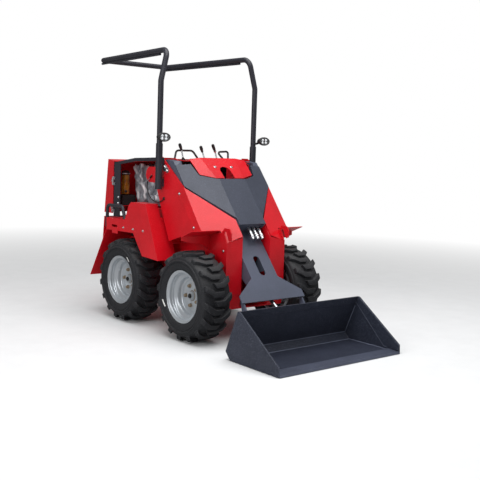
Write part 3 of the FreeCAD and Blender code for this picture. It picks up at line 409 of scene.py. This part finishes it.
triangles = 0
for end, axle_y in AXLES.items():
    for hand, side in HANDS.items():
        wheel = "%s_%s" % (end, hand)
        ring = turned(ring_profile, (side * WHEEL_SIDE, axle_y, TYRE_RADIUS), (1, 0, 0), 120)
        lugs = [grid + (side * WHEEL_SIDE, 0, 0) for grid in lug_grids(axle_y, STANDING[wheel])]
        tyre = piece("lugged_tyre_" + wheel, [ring] + lugs, tyre_rubber, "wheel_" + wheel,
                     ["tyre_" + wheel])
        triangles += len(tyre.data.polygons) * 2
print("four tyres:", triangles, "triangles")

# %% [markdown]
# ## Rims
# A drop-centre rim is rolled from one strip: a lip, a bead seat, a slope down to the well, and the disc
# with its hub welded into it. The section is drawn once, from the hub's middle out to the lip and back
# behind, and turned about the axle. Five nuts hold it, on a circle of 65 mm radius.

# %% Rims, nuts and hub caps
RIM_SECTION = np.vstack([
    [(27, 0), (27, 21), (29, 23)],
    smooth_line([(29, 26), (24, 28.5), (14, 30.5), (10, 35), (9, 45), (9, 55)], 3),
    smooth_line([(9, 78), (10.5, 84), (12, 91), (10.5, 99), (9, 104), (10.5, 111), (15, 116.5),
                 (22, 118.2)], 3),
    smooth_line([(27, 118.6), (32, 120.2), (38, 123), (43, 129), (47, 136.5), (52, 142.4), (58, 144.6)], 3),
    smooth_line([(64, 145.4), (66.5, 147.8), (74, 148.2), (81, 149.2), (85.5, 153), (89.5, 160), (92.2, 165),
                 (94, 167.2)], 3),
    [(93, 168), (90, 167.6), (86.5, 161), (84, 154), (62, 152), (50, 148), (38, 130), (30, 124), (-22, 124),
     (-48, 151), (-84, 154), (-89, 168), (-94, 168), (-94, 163), (-89, 149), (-50, 146), (-24, 119), (4, 118),
     (4, 52), (-25, 52), (-25, 0)]])
NUT_CIRCLE, NUTS, FIRST_NUT, DISC_FACE = 65.0, 5, 36.0, 9.0
NUT = [(0, 0), (0, 13), (2.5, 13), (4, 11.6), (13, 10.6), (17, 8.6), (19.5, 5), (20.4, 0)]
HUB_RING = [(8, 24), (8, 33), (10, 34), (13, 33), (14, 30.5), (14, 24), (8, 24)]
HUB_CAP = [(26, 0), (26, 15), (31, 15), (34, 13), (35, 9), (32, 7), (32, 0)]
for end, axle_y in AXLES.items():
    for hand, side in HANDS.items():
        wheel = "%s_%s" % (end, hand)
        middle, out = (side * WHEEL_SIDE, axle_y, TYRE_RADIUS), (side, 0, 0)
        piece("steel_rim_" + wheel, [turned(RIM_SECTION, middle, out, 96)], silver_wheel_paint,
              "wheel_" + wheel, ["rim_" + wheel], crease=50)
        angles = math.radians(FIRST_NUT + STANDING[wheel]) + np.arange(NUTS) * 2 * math.pi / NUTS
        places = np.stack([np.full(NUTS, side * (WHEEL_SIDE + DISC_FACE)),
                           axle_y - NUT_CIRCLE * np.cos(angles),
                           TYRE_RADIUS + NUT_CIRCLE * np.sin(angles)], -1)
        nuts = copies([turned(NUT, (0, 0, 0), out, 24)], places)
        piece("wheel_nuts_" + wheel, nuts, yellow_zinc, "wheel_" + wheel)
        piece("hub_ring_" + wheel, [turned(HUB_RING, middle, out, 40)], yellow_zinc, "wheel_" + wheel)
        piece("hub_cap_" + wheel, [turned(HUB_CAP, middle, out, 32)], black_moulding, "wheel_" + wheel)
print("rims, nuts, rings and caps: 16 pieces")

# %% A paint dash on two sidewalls
# Each is a curved patch just above the rubber: radius and angle run from a first to a last pair, and its
# width lies across. The sidewall's half width is read off the ring's own line, bead to shoulder.
DASH_WIDTH, DASH_SKINS, SIDEWALL_POINTS = 9, (-0.6, 0.9), 34
DASHES = {"front_right": ((199, -166.4), (187, -152.1), 0.0), "rear_right": ((203, 57.5), (199, 46.0), 757.0)}
for wheel, (first, last, axle_y) in DASHES.items():
    u, v = np.meshgrid(np.linspace(0, 1, 12), np.linspace(0, 1, 8), indexing="ij")
    radius = first[0] + (last[0] - first[0]) * u + DASH_WIDTH * (v - 0.5)
    angle = np.radians(first[1] + (last[1] - first[1]) * u)
    half = np.interp(radius, half_ring[:SIDEWALL_POINTS, 1], half_ring[:SIDEWALL_POINTS, 0])
    skins = [np.stack([-(WHEEL_SIDE + half + lift), axle_y - radius * np.cos(angle),
                       TYRE_RADIUS + radius * np.sin(angle)], -1) for lift in DASH_SKINS]
    rim = [np.stack([skin[:, -1] for skin in skins]), np.stack([skin[:, 0] for skin in skins]),
           np.stack([skin[0] for skin in skins]), np.stack([skin[-1] for skin in skins])]
    piece("paint_dash_" + wheel, skins + rim, white_mark, "wheel_" + wheel)
print("paint dashes: 2")

# %% [markdown]
# ## The wrapped seat
# The machine is new, and its seat is still in its polythene film. The seat itself is two pads of foam, and
# the film over them crumples. Each pad starts as a rounded block (a superellipsoid), gets an even mesh, and
# is then simulated as cloth with air inside. The cloth is cut a little too large for the block, and that
# slack is what folds. The crests of the folds get a lighter colour, a painted highlight.

# %% Two pads under their film
FOLDS, FOLD_PITCH, FOLD_CONTRAST, PAD_FOOT = 12, (26, 92), 2.8, 805
FRAMES, CLOTH_CELL = 20, 0.006


def rounded_block(half, centre, lean, power=8.0, rows=60):
    """x = a c(v) c(u), y = b c(v) s(u), z = h s(v), leant about x. c and s are cos and sin to the power
    2 / n, each with its own sign."""
    def bent(value):
        return np.sign(value) * np.abs(np.where(np.abs(value) < 1e-12, 0, value)) ** (2 / power)

    v = np.linspace(-math.pi / 2, math.pi / 2, rows)[:, None]
    u = np.linspace(0, 2 * math.pi, 2 * rows + 1)[None]
    u = np.where(u == u[0, -1], 0.0, u)
    block = np.stack([half[0] * bent(np.cos(v)) * bent(np.cos(u)),
                      half[1] * bent(np.cos(v)) * bent(np.sin(u)),
                      half[2] * bent(np.sin(v)) * np.ones_like(u)], -1)
    c, s = math.cos(math.radians(lean)), math.sin(math.radians(lean))
    return block @ np.array([(1, 0, 0), (0, c, -s), (0, s, c)]).T + np.asarray(centre)


def coordinates(mesh):
    """All points of a mesh as one array."""
    flat = np.empty(len(mesh.vertices) * 3)
    mesh.vertices.foreach_get("co", flat)
    return flat.reshape(-1, 3)


def current_mesh(made):
    """What the object's modifiers give now, as a mesh of its own."""
    return bpy.data.meshes.new_from_object(made.evaluated_get(bpy.context.evaluated_depsgraph_get()))


def crumple(points):
    """Creased facets, 0 to 1: the mean of triangle waves |2 frac(n . p / pitch + phase) - 1|, each set at
    its own slant n and as strong as its pitch in mm. They fade out towards the foot of the pad."""
    x, y, z = (points / MM).T
    s = x - 0.8 * y
    chance = np.random.default_rng(11)
    slants, pitches = np.radians(chance.normal(12, 30, FOLDS)), chance.uniform(*FOLD_PITCH, FOLDS)
    waves = [pitch * np.abs(2 * (((s * math.cos(slant) + z * math.sin(slant)) / pitch + phase) % 1) - 1)
             for slant, pitch, phase in zip(slants, pitches, chance.uniform(0, 1, FOLDS))]
    folds = np.clip(0.5 + FOLD_CONTRAST * (sum(waves) / pitches.sum() - 0.5), 0, 1)
    return folds * np.clip((z - PAD_FOOT) / 50, 0, 1)


def pad(name, block, node, low, high, cap=0.016, slack=0.07, fold=0.024):
    """Blows a block up as slack cloth: new = start + shift * min(1, cap / |shift|), kept from low to high."""
    made = piece(name, [block], seat_film)
    even = made.modifiers.new("even", "REMESH")
    even.mode, even.voxel_size = "VOXEL", CLOTH_CELL
    made.data = current_mesh(made)
    made.modifiers.clear()
    start = coordinates(made.data)
    cloth = made.modifiers.new("film", "CLOTH")
    cloth.settings.quality, cloth.settings.bending_stiffness = 6, 0.05
    cloth.settings.use_pressure, cloth.settings.uniform_pressure_force = True, 4.0
    cloth.settings.shrink_min = -slack
    cloth.settings.effector_weights.gravity = 0
    cloth.point_cache.frame_start, cloth.point_cache.frame_end = 1, FRAMES
    for step in range(1, FRAMES + 1):
        bpy.context.scene.frame_set(step)
    shift = coordinates(current_mesh(made)) - start
    made.modifiers.clear()
    bpy.context.scene.frame_set(1)
    length = np.linalg.norm(shift, axis=1, keepdims=True)
    start = start + shift * np.minimum(1, cap / np.maximum(length, 1e-9))
    low, high = placed(low), placed(high)
    crest = crumple(start)
    start = np.clip(start, low, high)
    made.data.vertices.foreach_set("co", start.ravel())
    made.data.update()
    outward = np.empty(len(start) * 3)
    made.data.vertices.foreach_get("normal", outward)
    start = start + (crest - 0.5)[:, None] * fold * outward.reshape(-1, 3)
    made.data.vertices.foreach_set("co", np.clip(start, low, high).ravel())
    # The fold attribute holds the share of the painted highlight, highest on the crests.
    painted_crest_highlight = made.data.attributes.new("fold", "FLOAT", "POINT")
    painted_crest_highlight.data.foreach_set("value", np.clip(2.6 * crest - 1.5, 0, 1))
    made.data.shade_smooth()
    fine = made.modifiers.new("fine", "SUBSURF")
    fine.levels = fine.render_levels = 1
    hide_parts(node)
    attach(made, "chassis")
    return made


cushion = pad("film_wrapped_cushion", rounded_block((216, 152, 33), (0, 718, 830), 0), "seat_cushion",
              (-234, 556, 790.4), (234, 878, 874))
backrest = pad("film_wrapped_backrest", rounded_block((224, 48, 148), (0, 952, 946), -11, 14.0),
               "seat_backrest", (-236, 879, 790.4), (236, 1028, 1098))
print("pads:", len(cushion.data.vertices), len(backrest.data.vertices), "points")

# %% [markdown]
# ## Work lamps
# Each lamp is an oval die-cast shell with cooling ribs behind, four light-emitting diodes under small
# optics, and a clear lens. An oval shell is easiest as rows: each row is an ellipse at its own depth, and
# the rows run from the middle of the bowl out over the rim and back to the middle of the rear face.

# %% Oval shells, optics and lenses
LAMP_Y, LAMP_Z = 286.0, 1285.0
LAMP_X = {"left": 414.0, "right": -442.0}
STALK_FOOT = (404.0, 397.0, 1266.0)


def oval(rows, centre, turns=40):
    """Ellipses at several depths: centre + (half width * cos t, depth, half height * sin t)."""
    t = np.linspace(0, 2 * math.pi, turns + 1)
    depth, wide, high = np.asarray(rows, float).T[:, :, None]
    grid = np.stack([wide * np.cos(t), np.broadcast_to(depth, (len(rows), turns + 1)), high * np.sin(t)], -1)
    grid[:, -1] = grid[:, 0]
    return grid + np.asarray(centre, float)


shell_rows = [(6, 0, 0), (6, 35, 22), (0, 37, 24), (-2, 38.6, 25), (-3.2, 41.6, 27), (-2.6, 45, 28.6),
              (0, 47.4, 29.5), (3, 48, 30), (14, 48, 30), (19, 46.5, 28.6), (22, 43, 25.5)]
rib_rows = [(22 + 4 * rib + depth, wide, high) for rib in range(5)
            for depth, wide, high in ((0, 34, 20), (1.8, 34, 20), (2.2, 36, 22), (3.8, 36, 22))]
back_rows = [(43, 34, 19.5), (45.5, 30, 16), (46, 27, 13), (46, 0, 0)]
optic_profile = [(0, 0), (0, 9.4), (-3, 9), (-5, 7.4), (-6.2, 4.4), (-6.6, 0)]
lens_rows = [(-1.4, 0, 0), (-1.4, 36, 23), (-1, 37.2, 24.2), (0.2, 37.4, 24.4), (0.2, 0, 0)]
for hand, side in HANDS.items():
    face = (LAMP_X[hand], LAMP_Y, LAMP_Z)
    foot = np.array(STALK_FOOT) * (side, 1, 1)
    stalk = tube(smooth_line([(face[0] - side * 2, 330, LAMP_Z - 3), (face[0] - side * 3, 352, LAMP_Z - 12),
                              (foot[0] + side * 4, 378, foot[2] + 1), foot], 4), 8, 12)
    piece("lamp_shell_" + hand, [oval(shell_rows + rib_rows + back_rows, face), stalk], black_casting,
          "chassis", ["work_lamps"])
    optics = copies([turned(optic_profile, (0, 0, 0), (0, 1, 0), 20)],
                    [(face[0] + x, LAMP_Y + 6, LAMP_Z + z) for x in (-15.5, 15.5) for z in (-10, 10)])
    piece("lamp_optics_" + hand, optics, white_led, "chassis")
    piece("lamp_lens_" + hand, [oval(lens_rows, face)], lens_glass, "chassis", ["lamp_lenses"])
    bolt_place = (face[0] - side * 4, 352, LAMP_Z - 3)
    piece("lamp_bolt_" + hand, copies(hex_bolt((0, 0, 1), 13, 6), [bolt_place]), zinc_steel, "chassis")
print("lamp shells of", len(shell_rows + rib_rows + back_rows), "rows")

# %% [markdown]
# ## Levers
# Three levers stand in the dash. A steel rod rises from a rubber bellows and carries a moulded grip, which
# is a profile turned about the rod's own line: narrow neck, full body, rounded top. The throttle is a small
# one of the same kind beside the seat.

# %% Rods, bellows and grips
LEVERS = [((-205, 405, 1133), (-211, 424, 1205), (-229, 424, 1250)),
          ((-22, 405, 1133), (-34, 424, 1195), (-52, 424, 1238)),
          ((84, 405, 1133), (75, 424, 1203), (51, 424, 1253))]
THROTTLE = ((-309, 634, 1025), (-309, 684, 981))
rods, grips, bellows = [], [], []
for foot, knee, tip in LEVERS:
    foot, knee, tip = (np.array(p, float) for p in (foot, knee, tip))
    length = np.linalg.norm(tip - knee)
    bend = smooth_line([foot - (0, 0, 1), foot * 0.4 + knee * 0.6, knee, knee * 0.7 + tip * 0.3], 4)
    rods.append(tube(bend, 5, 12))
    grips.append(turned([(0, 0), (0, 7), (2, 8.4), (7, 8.8), (10, 8), (13, 9.4), (0.5 * length, 11),
                         (length - 9, 10.8), (length - 3, 8.6), (length - 0.6, 4.5), (length, 0)], knee,
                        tip - knee, 24))
    bellows.append(turned([(0, 0), (0, 17), (3, 17.5), (5, 14), (8, 15.5), (10, 11.5), (13, 13), (15, 9),
                           (18, 10), (21, 6.5), (26, 5.6), (26, 0)], foot - (0, 0, 1), knee - foot, 24))
top, low = (np.array(p, float) for p in THROTTLE)
rods.append(tube(np.linspace(top, low, 5), 3.2, 12))
grips.append(turned([(0, 0), (0.6, 3.6), (3, 5.6), (26, 6), (30, 5), (31, 0)], top, low - top, 20))
piece("lever_grips", grips, black_moulding, "chassis", ["control_levers"])
piece("lever_rods", rods, zinc_steel, "chassis", ["control_levers"])
piece("lever_bellows", bellows, black_moulding, "chassis")
collar = turned([(-9, 0), (-9, 4), (-7, 8), (-2, 9.6), (3, 8.6), (5, 6), (5, 0)], LEVERS[2][1],
                np.subtract(LEVERS[2][2], LEVERS[2][1]), 20)
piece("lever_ball", [collar], zinc_steel, "chassis")
print("levers:", len(LEVERS), "and the throttle")

# %% [markdown]
# ## Turned steel parts
# Everything that comes off a lathe is one profile round its own axis: the auxiliary quick couplers under
# the boom's cover, the pivot pins of the boom with their keeper plates, and the air cleaner with its amber
# bowl.

# %% Couplers, pivot pins and the amber bowl
down = np.array((0, -0.633, -0.774))
out = np.array((0, -0.774, 0.633))
crown = np.array((0, 117, 1016.0))
COUPLERS_X, COUPLERS_DOWN, COUPLERS_IN = (4, 44, 84), 344, 60
coupler = [(0, 0), (0, 12.6), (18, 12.6), (19.5, 11), (24, 11), (25.5, 13), (46, 13), (47, 12), (50, 12),
           (51, 13), (59, 13), (60.5, 15.4), (62, 16), (66, 16), (67, 15), (69, 15), (70, 16), (75, 16),
           (76.5, 15.2), (78, 12.8), (85, 12.8), (86, 11.6), (90.5, 11.6), (92, 10.4), (92, 7), (82, 6.4),
           (82, 0)]
piece("quick_couplers",
      copies([turned(coupler, (0, 0, 0), down, 32)],
             [crown + down * COUPLERS_DOWN - out * COUPLERS_IN + (x, 0, 0) for x in COUPLERS_X]),
      zinc_steel, "boom", ["aux_couplers"])

PIVOT_Y, PIVOT_Z = 375.0, 1079.0
pin_profile = [(276, 0), (276, 19), (277, 20), (377, 20), (379.5, 18), (379.5, 4), (376, 2.5), (376, 0)]
keeper_ends = np.array([(345, 1066), (374, 1091)], float)
KEEPER_FACE, KEEPER_THICK, KEEPER_ROUND = 370.0, 6.0, 15
for hand, side in HANDS.items():
    pin = turned([(along * side, radius) for along, radius in pin_profile],
                 (0, PIVOT_Y, PIVOT_Z), (1, 0, 0), 40)
    way = np.array([0.757, 0.653])
    t = np.linspace(-math.pi / 2, math.pi / 2, 13)[:, None]
    cap_out = np.hstack([np.cos(t), np.sin(t)]) @ np.array([way, (-way[1], way[0])]) * KEEPER_ROUND
    rim = np.vstack([keeper_ends[1] + cap_out, keeper_ends[0] - cap_out])
    plate = slab(np.column_stack([np.full(len(rim), side * KEEPER_FACE), rim]), side * KEEPER_THICK)
    bolts = copies(hex_bolt((side, 0, 0), 13, 7),
                   [(side * (KEEPER_FACE + KEEPER_THICK - 0.5), y, z) for y, z in keeper_ends])
    piece("boom_pivot_pin_" + hand, [pin], zinc_steel, "chassis", ["boom_pivot_pins"])
    piece("pivot_keeper_" + hand, [plate] + bolts, zinc_steel, "chassis")

BOWL = (-300, 1000, 0)
ribs = [(880 + 16.5 * step + rise, radius) for step in range(8)
        for rise, radius in ((0, 29.2), (1.6, 30.2), (12, 30.2), (13.6, 29.2))]
piece("amber_bowl", [turned([(868, 0), (868, 22), (871, 27), (875, 29.2)] + ribs + [(1014, 29.2), (1014, 0)],
                            BOWL, (0, 0, 1), 48)], amber_plastic, "chassis", ["air_cleaner"])
bowl_top = [(1013, 0), (1013, 30), (1017, 31), (1027, 31), (1030, 29), (1036, 26), (1040, 17), (1044, 15),
            (1045, 0)]
plug = turned([(0, 0), (0, 9), (4, 10), (7, 10), (8, 8.5), (8, 0)], (-312, 974, 893), (-0.42, -0.91, 0), 20)
piece("bowl_head", [turned(bowl_top, BOWL, (0, 0, 1), 48), plug], black_moulding, "chassis")
band = [(1018, 30.8), (1018.4, 33.2), (1019.2, 33.8), (1025, 33.8), (1025.8, 33.2), (1026.2, 30.8),
        (1018, 30.8)]
screw = turned([(-11, 0), (-11, 4.6), (9, 4.6), (9.5, 6), (14, 6), (14.5, 5), (14.5, 0)], (-322, 971, 1022),
               (-0.8, 0.6, 0), 16)
piece("bowl_clamp", [turned(band, BOWL, (0, 0, 1), 48), screw], zinc_steel, "chassis")
print("turned parts: 3 couplers, 2 pins, 1 bowl")

# %% [markdown]
# ## Fasteners
# Bolts are what the eye uses to judge scale, so each stands where the real one does. A flanged hex bolt is
# a turned profile with six sides on a washer with twenty-four, made once for a direction and copied to its
# places.

# %% Bolts on both sides
SIDE_BOLTS = {"tower_bolts": (369.5, 10, 5.5, [(206, 921), (36, 716)]),
              "post_bolts": (386, 10, 6, [(949, 852), (949, 809)]),
              "fender_bolts": (470, 9, 6, [(731, 655), (605, 655), (477, 655)]),
              "leg_bolts": (245, 10, 6, [(-118, 577)])}
for name, (across, flats, height, spots) in SIDE_BOLTS.items():
    for hand, side in HANDS.items():
        places = [(side * across, y, z) for y, z in spots]
        piece(name + "_" + hand, copies(hex_bolt((side, 0, 0), flats, height), places), zinc_steel, "chassis")
cowl_places = [(x, 226, 1099) for x in (-70, 70)]
piece("cowl_screws", copies(hex_bolt((0, -0.673, 0.740), 11, 5), cowl_places), zinc_steel, "chassis")

# %% [markdown]
# ## Welds of the bucket
# A bucket is welded from plates, and each seam leaves a raised, rippled bead that catches the light through
# the paint. A bead is a thin tube along the seam whose radius swells at every ripple, about 6 mm apart. Its
# colour, much lighter than the bucket's paint, is a painted highlight.

# %% Weld beads
def bead(start, end, radius=2.6, ripple=6.0):
    """A tube from start to end whose radius is r + 0.4 |sin(pi s / ripple)| at a distance s along it."""
    start, end = np.asarray(start, float), np.asarray(end, float)
    length = np.linalg.norm(end - start)
    s = np.linspace(0, length, int(length / ripple * 3))[:, None]
    swell = radius + 0.4 * np.abs(np.sin(math.pi * s / ripple))
    return tube(start + (end - start) * s / length, swell[:, 0], 8)


BUCKET_IN, DOUBLER = 493.0, 5.0
FLOOR_TOP, HEEL = 9.0, -539.0
beads = [bead((-BUCKET_IN, y, z), (BUCKET_IN, y, z))
         for y, z in ((HEEL, FLOOR_TOP), (-498, 51), (-579.5, 261), (-873, 10))]
for side in HANDS.values():
    edge = side * (BUCKET_IN - DOUBLER / 2)
    beads += [bead((edge, -585, 265), (edge, -832, 29)), bead((edge, -832, 29), (edge, -866, 21)),
              bead((side * BUCKET_IN, HEEL, FLOOR_TOP), (side * BUCKET_IN, -862, FLOOR_TOP)),
              bead((side * BUCKET_IN, -498, 51), (side * BUCKET_IN, -578, 236))]
piece("bucket_weld_beads", beads, weld_highlight_paint, "bucket")
print("weld beads:", len(beads))

# %% [markdown]
# ## Hinges
# The rear door hangs on two hinges of three knuckles each. The upper and lower knuckle stay with the
# chassis and the middle one swings with the door, so each knuckle carries its own half of a leaf.

# %% Hinge barrels over the knuckles
HINGE_X, HINGE_Y, KNUCKLE, LEAF_REACH, LEAF_X, LEAF_THICK = -392.0, 1022.0, 20.0, 24.0, -386.6, 4.4
barrels = {"chassis": [], "rear_door": []}
for foot_z in (739.0, 936.0):
    for step, body in ((0, "chassis"), (1, "rear_door"), (2, "chassis")):
        z0 = foot_z + step * (KNUCKLE + 0.5)
        sleeve = [(z0 + 0.6, 0), (z0 + 0.6, 6.8), (z0 + 1.4, 7.6), (z0 + KNUCKLE - 1.4, 7.6),
                  (z0 + KNUCKLE - 0.6, 6.8), (z0 + KNUCKLE - 0.6, 0)]
        reach_y = HINGE_Y + (LEAF_REACH + 0.6) * (1 if body == "rear_door" else -1)
        leaf = [(LEAF_X, y, z) for y, z in ((HINGE_Y, z0 - 0.4), (reach_y, z0 - 0.4),
                                            (reach_y, z0 + KNUCKLE + 0.4), (HINGE_Y, z0 + KNUCKLE + 0.4))]
        barrels[body] += [turned(sleeve, (HINGE_X, HINGE_Y, 0), (0, 0, 1), 24),
                          slab(leaf, LEAF_THICK if body == "chassis" else -LEAF_THICK, 0.5)]
for body, grids in barrels.items():
    piece("hinge_leaves_" + body, grids, zinc_steel, body, crease=30)
print("hinges: 2, three knuckles each")

# %% [markdown]
# ## Throttle cable
# The throttle's cable leaves the lever downwards, sags in a loop in front of the seat and passes through a
# rubber grommet in the tower's side. A curve with a round section is the natural way: a NURBS spline never
# kinks between its points, and its points are the corners of the cable's route.

# %% Cable and grommet
CABLE_ROUTE = [(-309, 684, 981), (-312, 695, 938), (-330, 636, 888), (-350, 562, 858), (-374, 466, 848),
               (-380, 404, 854), (-368, 384, 878)]
CABLE_WIDTH, CABLE_LENGTH = 0.007, 0.388
curve = bpy.data.curves.new("throttle_cable", "CURVE")
curve.dimensions, curve.bevel_depth, curve.bevel_resolution = "3D", CABLE_WIDTH / 2, 4
curve.use_fill_caps, curve.resolution_u = True, 12
spline = curve.splines.new("NURBS")
spline.points.add(len(CABLE_ROUTE) - 1)
for point, place in zip(spline.points, placed(CABLE_ROUTE)):
    point.co = (*place, 1)
spline.order_u = 3
spline.use_endpoint_u = True
curve.materials.append(black_moulding)
cable = bpy.data.objects.new("throttle_cable_sheath", curve)
bpy.context.scene.collection.objects.link(cable)
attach(cable, "chassis")
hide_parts("throttle_cable")
grommet = [(-5, 4), (-5, 10), (-3, 11.5), (0, 11.5), (1.5, 9), (4, 9), (6, 6), (7, 4), (-5, 4)]
piece("cable_grommet", [turned(grommet, (-371, 384, 878), (-1, 0, 0), 24)], black_moulding, "chassis")

# %% [markdown]
# ## The room
# The photograph was taken outdoors, but the part is shown on a plain pale floor under soft lamps. The world
# gives an even fill, and the camera sees it as plain white. A large lamp above the machine draws the soft
# highlights on its sloping plates, and a weaker one beside it keeps the side that faces the camera from
# going dark. Gloss paint outdoors mirrors dark ground and half of the sky, so mirror rays meet a dimmer
# floor and a dimmer world.

# %% Floor, lamps and world
def lamp(name, place, target, size, power):
    """A square soft lamp at a place in metres, turned to face a target."""
    light = bpy.data.lights.new(name, "AREA")
    light.shape, light.size, light.energy = "SQUARE", size, power
    made = bpy.data.objects.new(name, light)
    bpy.context.scene.collection.objects.link(made)
    made.location = place
    aim = np.subtract(target, place)
    made.rotation_euler = (math.atan2(math.hypot(aim[0], aim[1]), -aim[2]), 0,
                           math.atan2(aim[0], -aim[1]) + math.pi)
    return made


FLOOR_REACH, FADE_FROM, FADE_TO = 40.0, 2.5, 7.0
FILL, MIRRORED_FILL, FLOOR_DIM = 0.38, 0.24, 0.6
reach = np.linspace(-FLOOR_REACH, FLOOR_REACH, 5) / MM
floor_grid = np.stack(np.meshgrid(reach, reach, [0.0], indexing="ij"), -1)[:, :, 0]
floor_finish = finish("pale_matt_floor", "E4E5E6", "E0E1E2", 0.85, relief=0.0)
nodes = floor_finish.node_tree
spot = add(nodes, "ShaderNodeTexCoord").outputs["Object"]
far = add(nodes, "ShaderNodeVectorMath", {0: spot}, operation="LENGTH")
fade = add(nodes, "ShaderNodeMapRange", {"Value": far.outputs["Value"], "From Min": FADE_FROM,
                                         "From Max": FADE_TO})
ray = add(nodes, "ShaderNodeLightPath")
share = add(nodes, "ShaderNodeMath", {0: fade.outputs[0], 1: ray.outputs["Is Camera Ray"]},
            operation="MULTIPLY")
glow = add(nodes, "ShaderNodeEmission", {"Strength": 1.0})
both = add(nodes, "ShaderNodeMixShader", {0: share.outputs[0], 1: nodes.nodes["Principled BSDF"].outputs[0],
                                          2: glow.outputs[0]})
dim = add(nodes, "ShaderNodeMath", {0: ray.outputs["Is Glossy Ray"], 1: FLOOR_DIM}, operation="MULTIPLY")
dark = add(nodes, "ShaderNodeEmission", {"Strength": 0.05})
whole = add(nodes, "ShaderNodeMixShader", {0: dim.outputs[0], 1: both.outputs[0], 2: dark.outputs[0]})
nodes.links.new(whole.outputs[0], nodes.nodes["Material Output"].inputs["Surface"])
floor = piece("floor", [floor_grid], floor_finish, closed=False)

world = bpy.data.worlds.new("soft_sky")
bpy.context.scene.world = world
world.use_nodes = True
sky = world.node_tree
ray = add(sky, "ShaderNodeLightPath")
plain = add(sky, "ShaderNodeMath", {0: ray.outputs["Is Camera Ray"], 1: ray.outputs["Is Transmission Ray"]},
            operation="MAXIMUM")
mirrored = add(sky, "ShaderNodeMapRange", {"Value": ray.outputs["Is Glossy Ray"], "To Min": FILL,
                                           "To Max": MIRRORED_FILL})
seen = add(sky, "ShaderNodeMapRange", {"Value": plain.outputs[0], "To Min": mirrored.outputs[0],
                                       "To Max": 1.0})
sky.nodes["Background"].inputs["Color"].default_value = (1, 1, 1, 1)
sky.links.new(seen.outputs[0], sky.nodes["Background"].inputs["Strength"])
lamp("top_lamp", (-0.3, -1.3, 4.8), (-0.1, -0.6, 0.6), 4.6, 270)
lamp("side_lamp", (-5.0, -1.5, 2.6), (0, 0, 0.7), 2.6, 75)
bpy.context.scene.view_settings.view_transform = "Standard"

# %% [markdown]
# ## The camera
# The camera's place and lens were solved from points of the machine whose true places are known. It stands
# 1.2 m above the ground, 39 degrees round to the machine's right, and looks down a little.

# %% Camera
CAMERA_PLACE, CAMERA_SHIFT = (-3.343, -4.310, 1.208), (-0.0031, -0.05625)
FOCAL_PIXELS, PICTURE_PIXELS, SENSOR = 801.9, 480, 36
yaw, pitch, roll = (math.radians(a) for a in (39.19, -4.38, 1.86))
look = np.array([math.sin(yaw) * math.cos(pitch), math.cos(yaw) * math.cos(pitch), math.sin(pitch)])
level = np.array([math.cos(yaw), -math.sin(yaw), 0])
above = np.cross(level, look)
right = math.cos(roll) * level + math.sin(roll) * above
crown_way = math.cos(roll) * above - math.sin(roll) * level
camera_data = bpy.data.cameras.new("camera")
camera_data.sensor_width, camera_data.lens = SENSOR, FOCAL_PIXELS / PICTURE_PIXELS * SENSOR
camera_data.shift_x, camera_data.shift_y = CAMERA_SHIFT
camera = bpy.data.objects.new("camera", camera_data)
bpy.context.scene.collection.objects.link(camera)
turn = np.column_stack([right, crown_way, -look])
camera.matrix_world = Matrix.Translation(CAMERA_PLACE) @ Matrix(turn.tolist()).to_4x4()
bpy.context.scene.camera = camera
print("lens, mm:", round(camera_data.lens, 1))
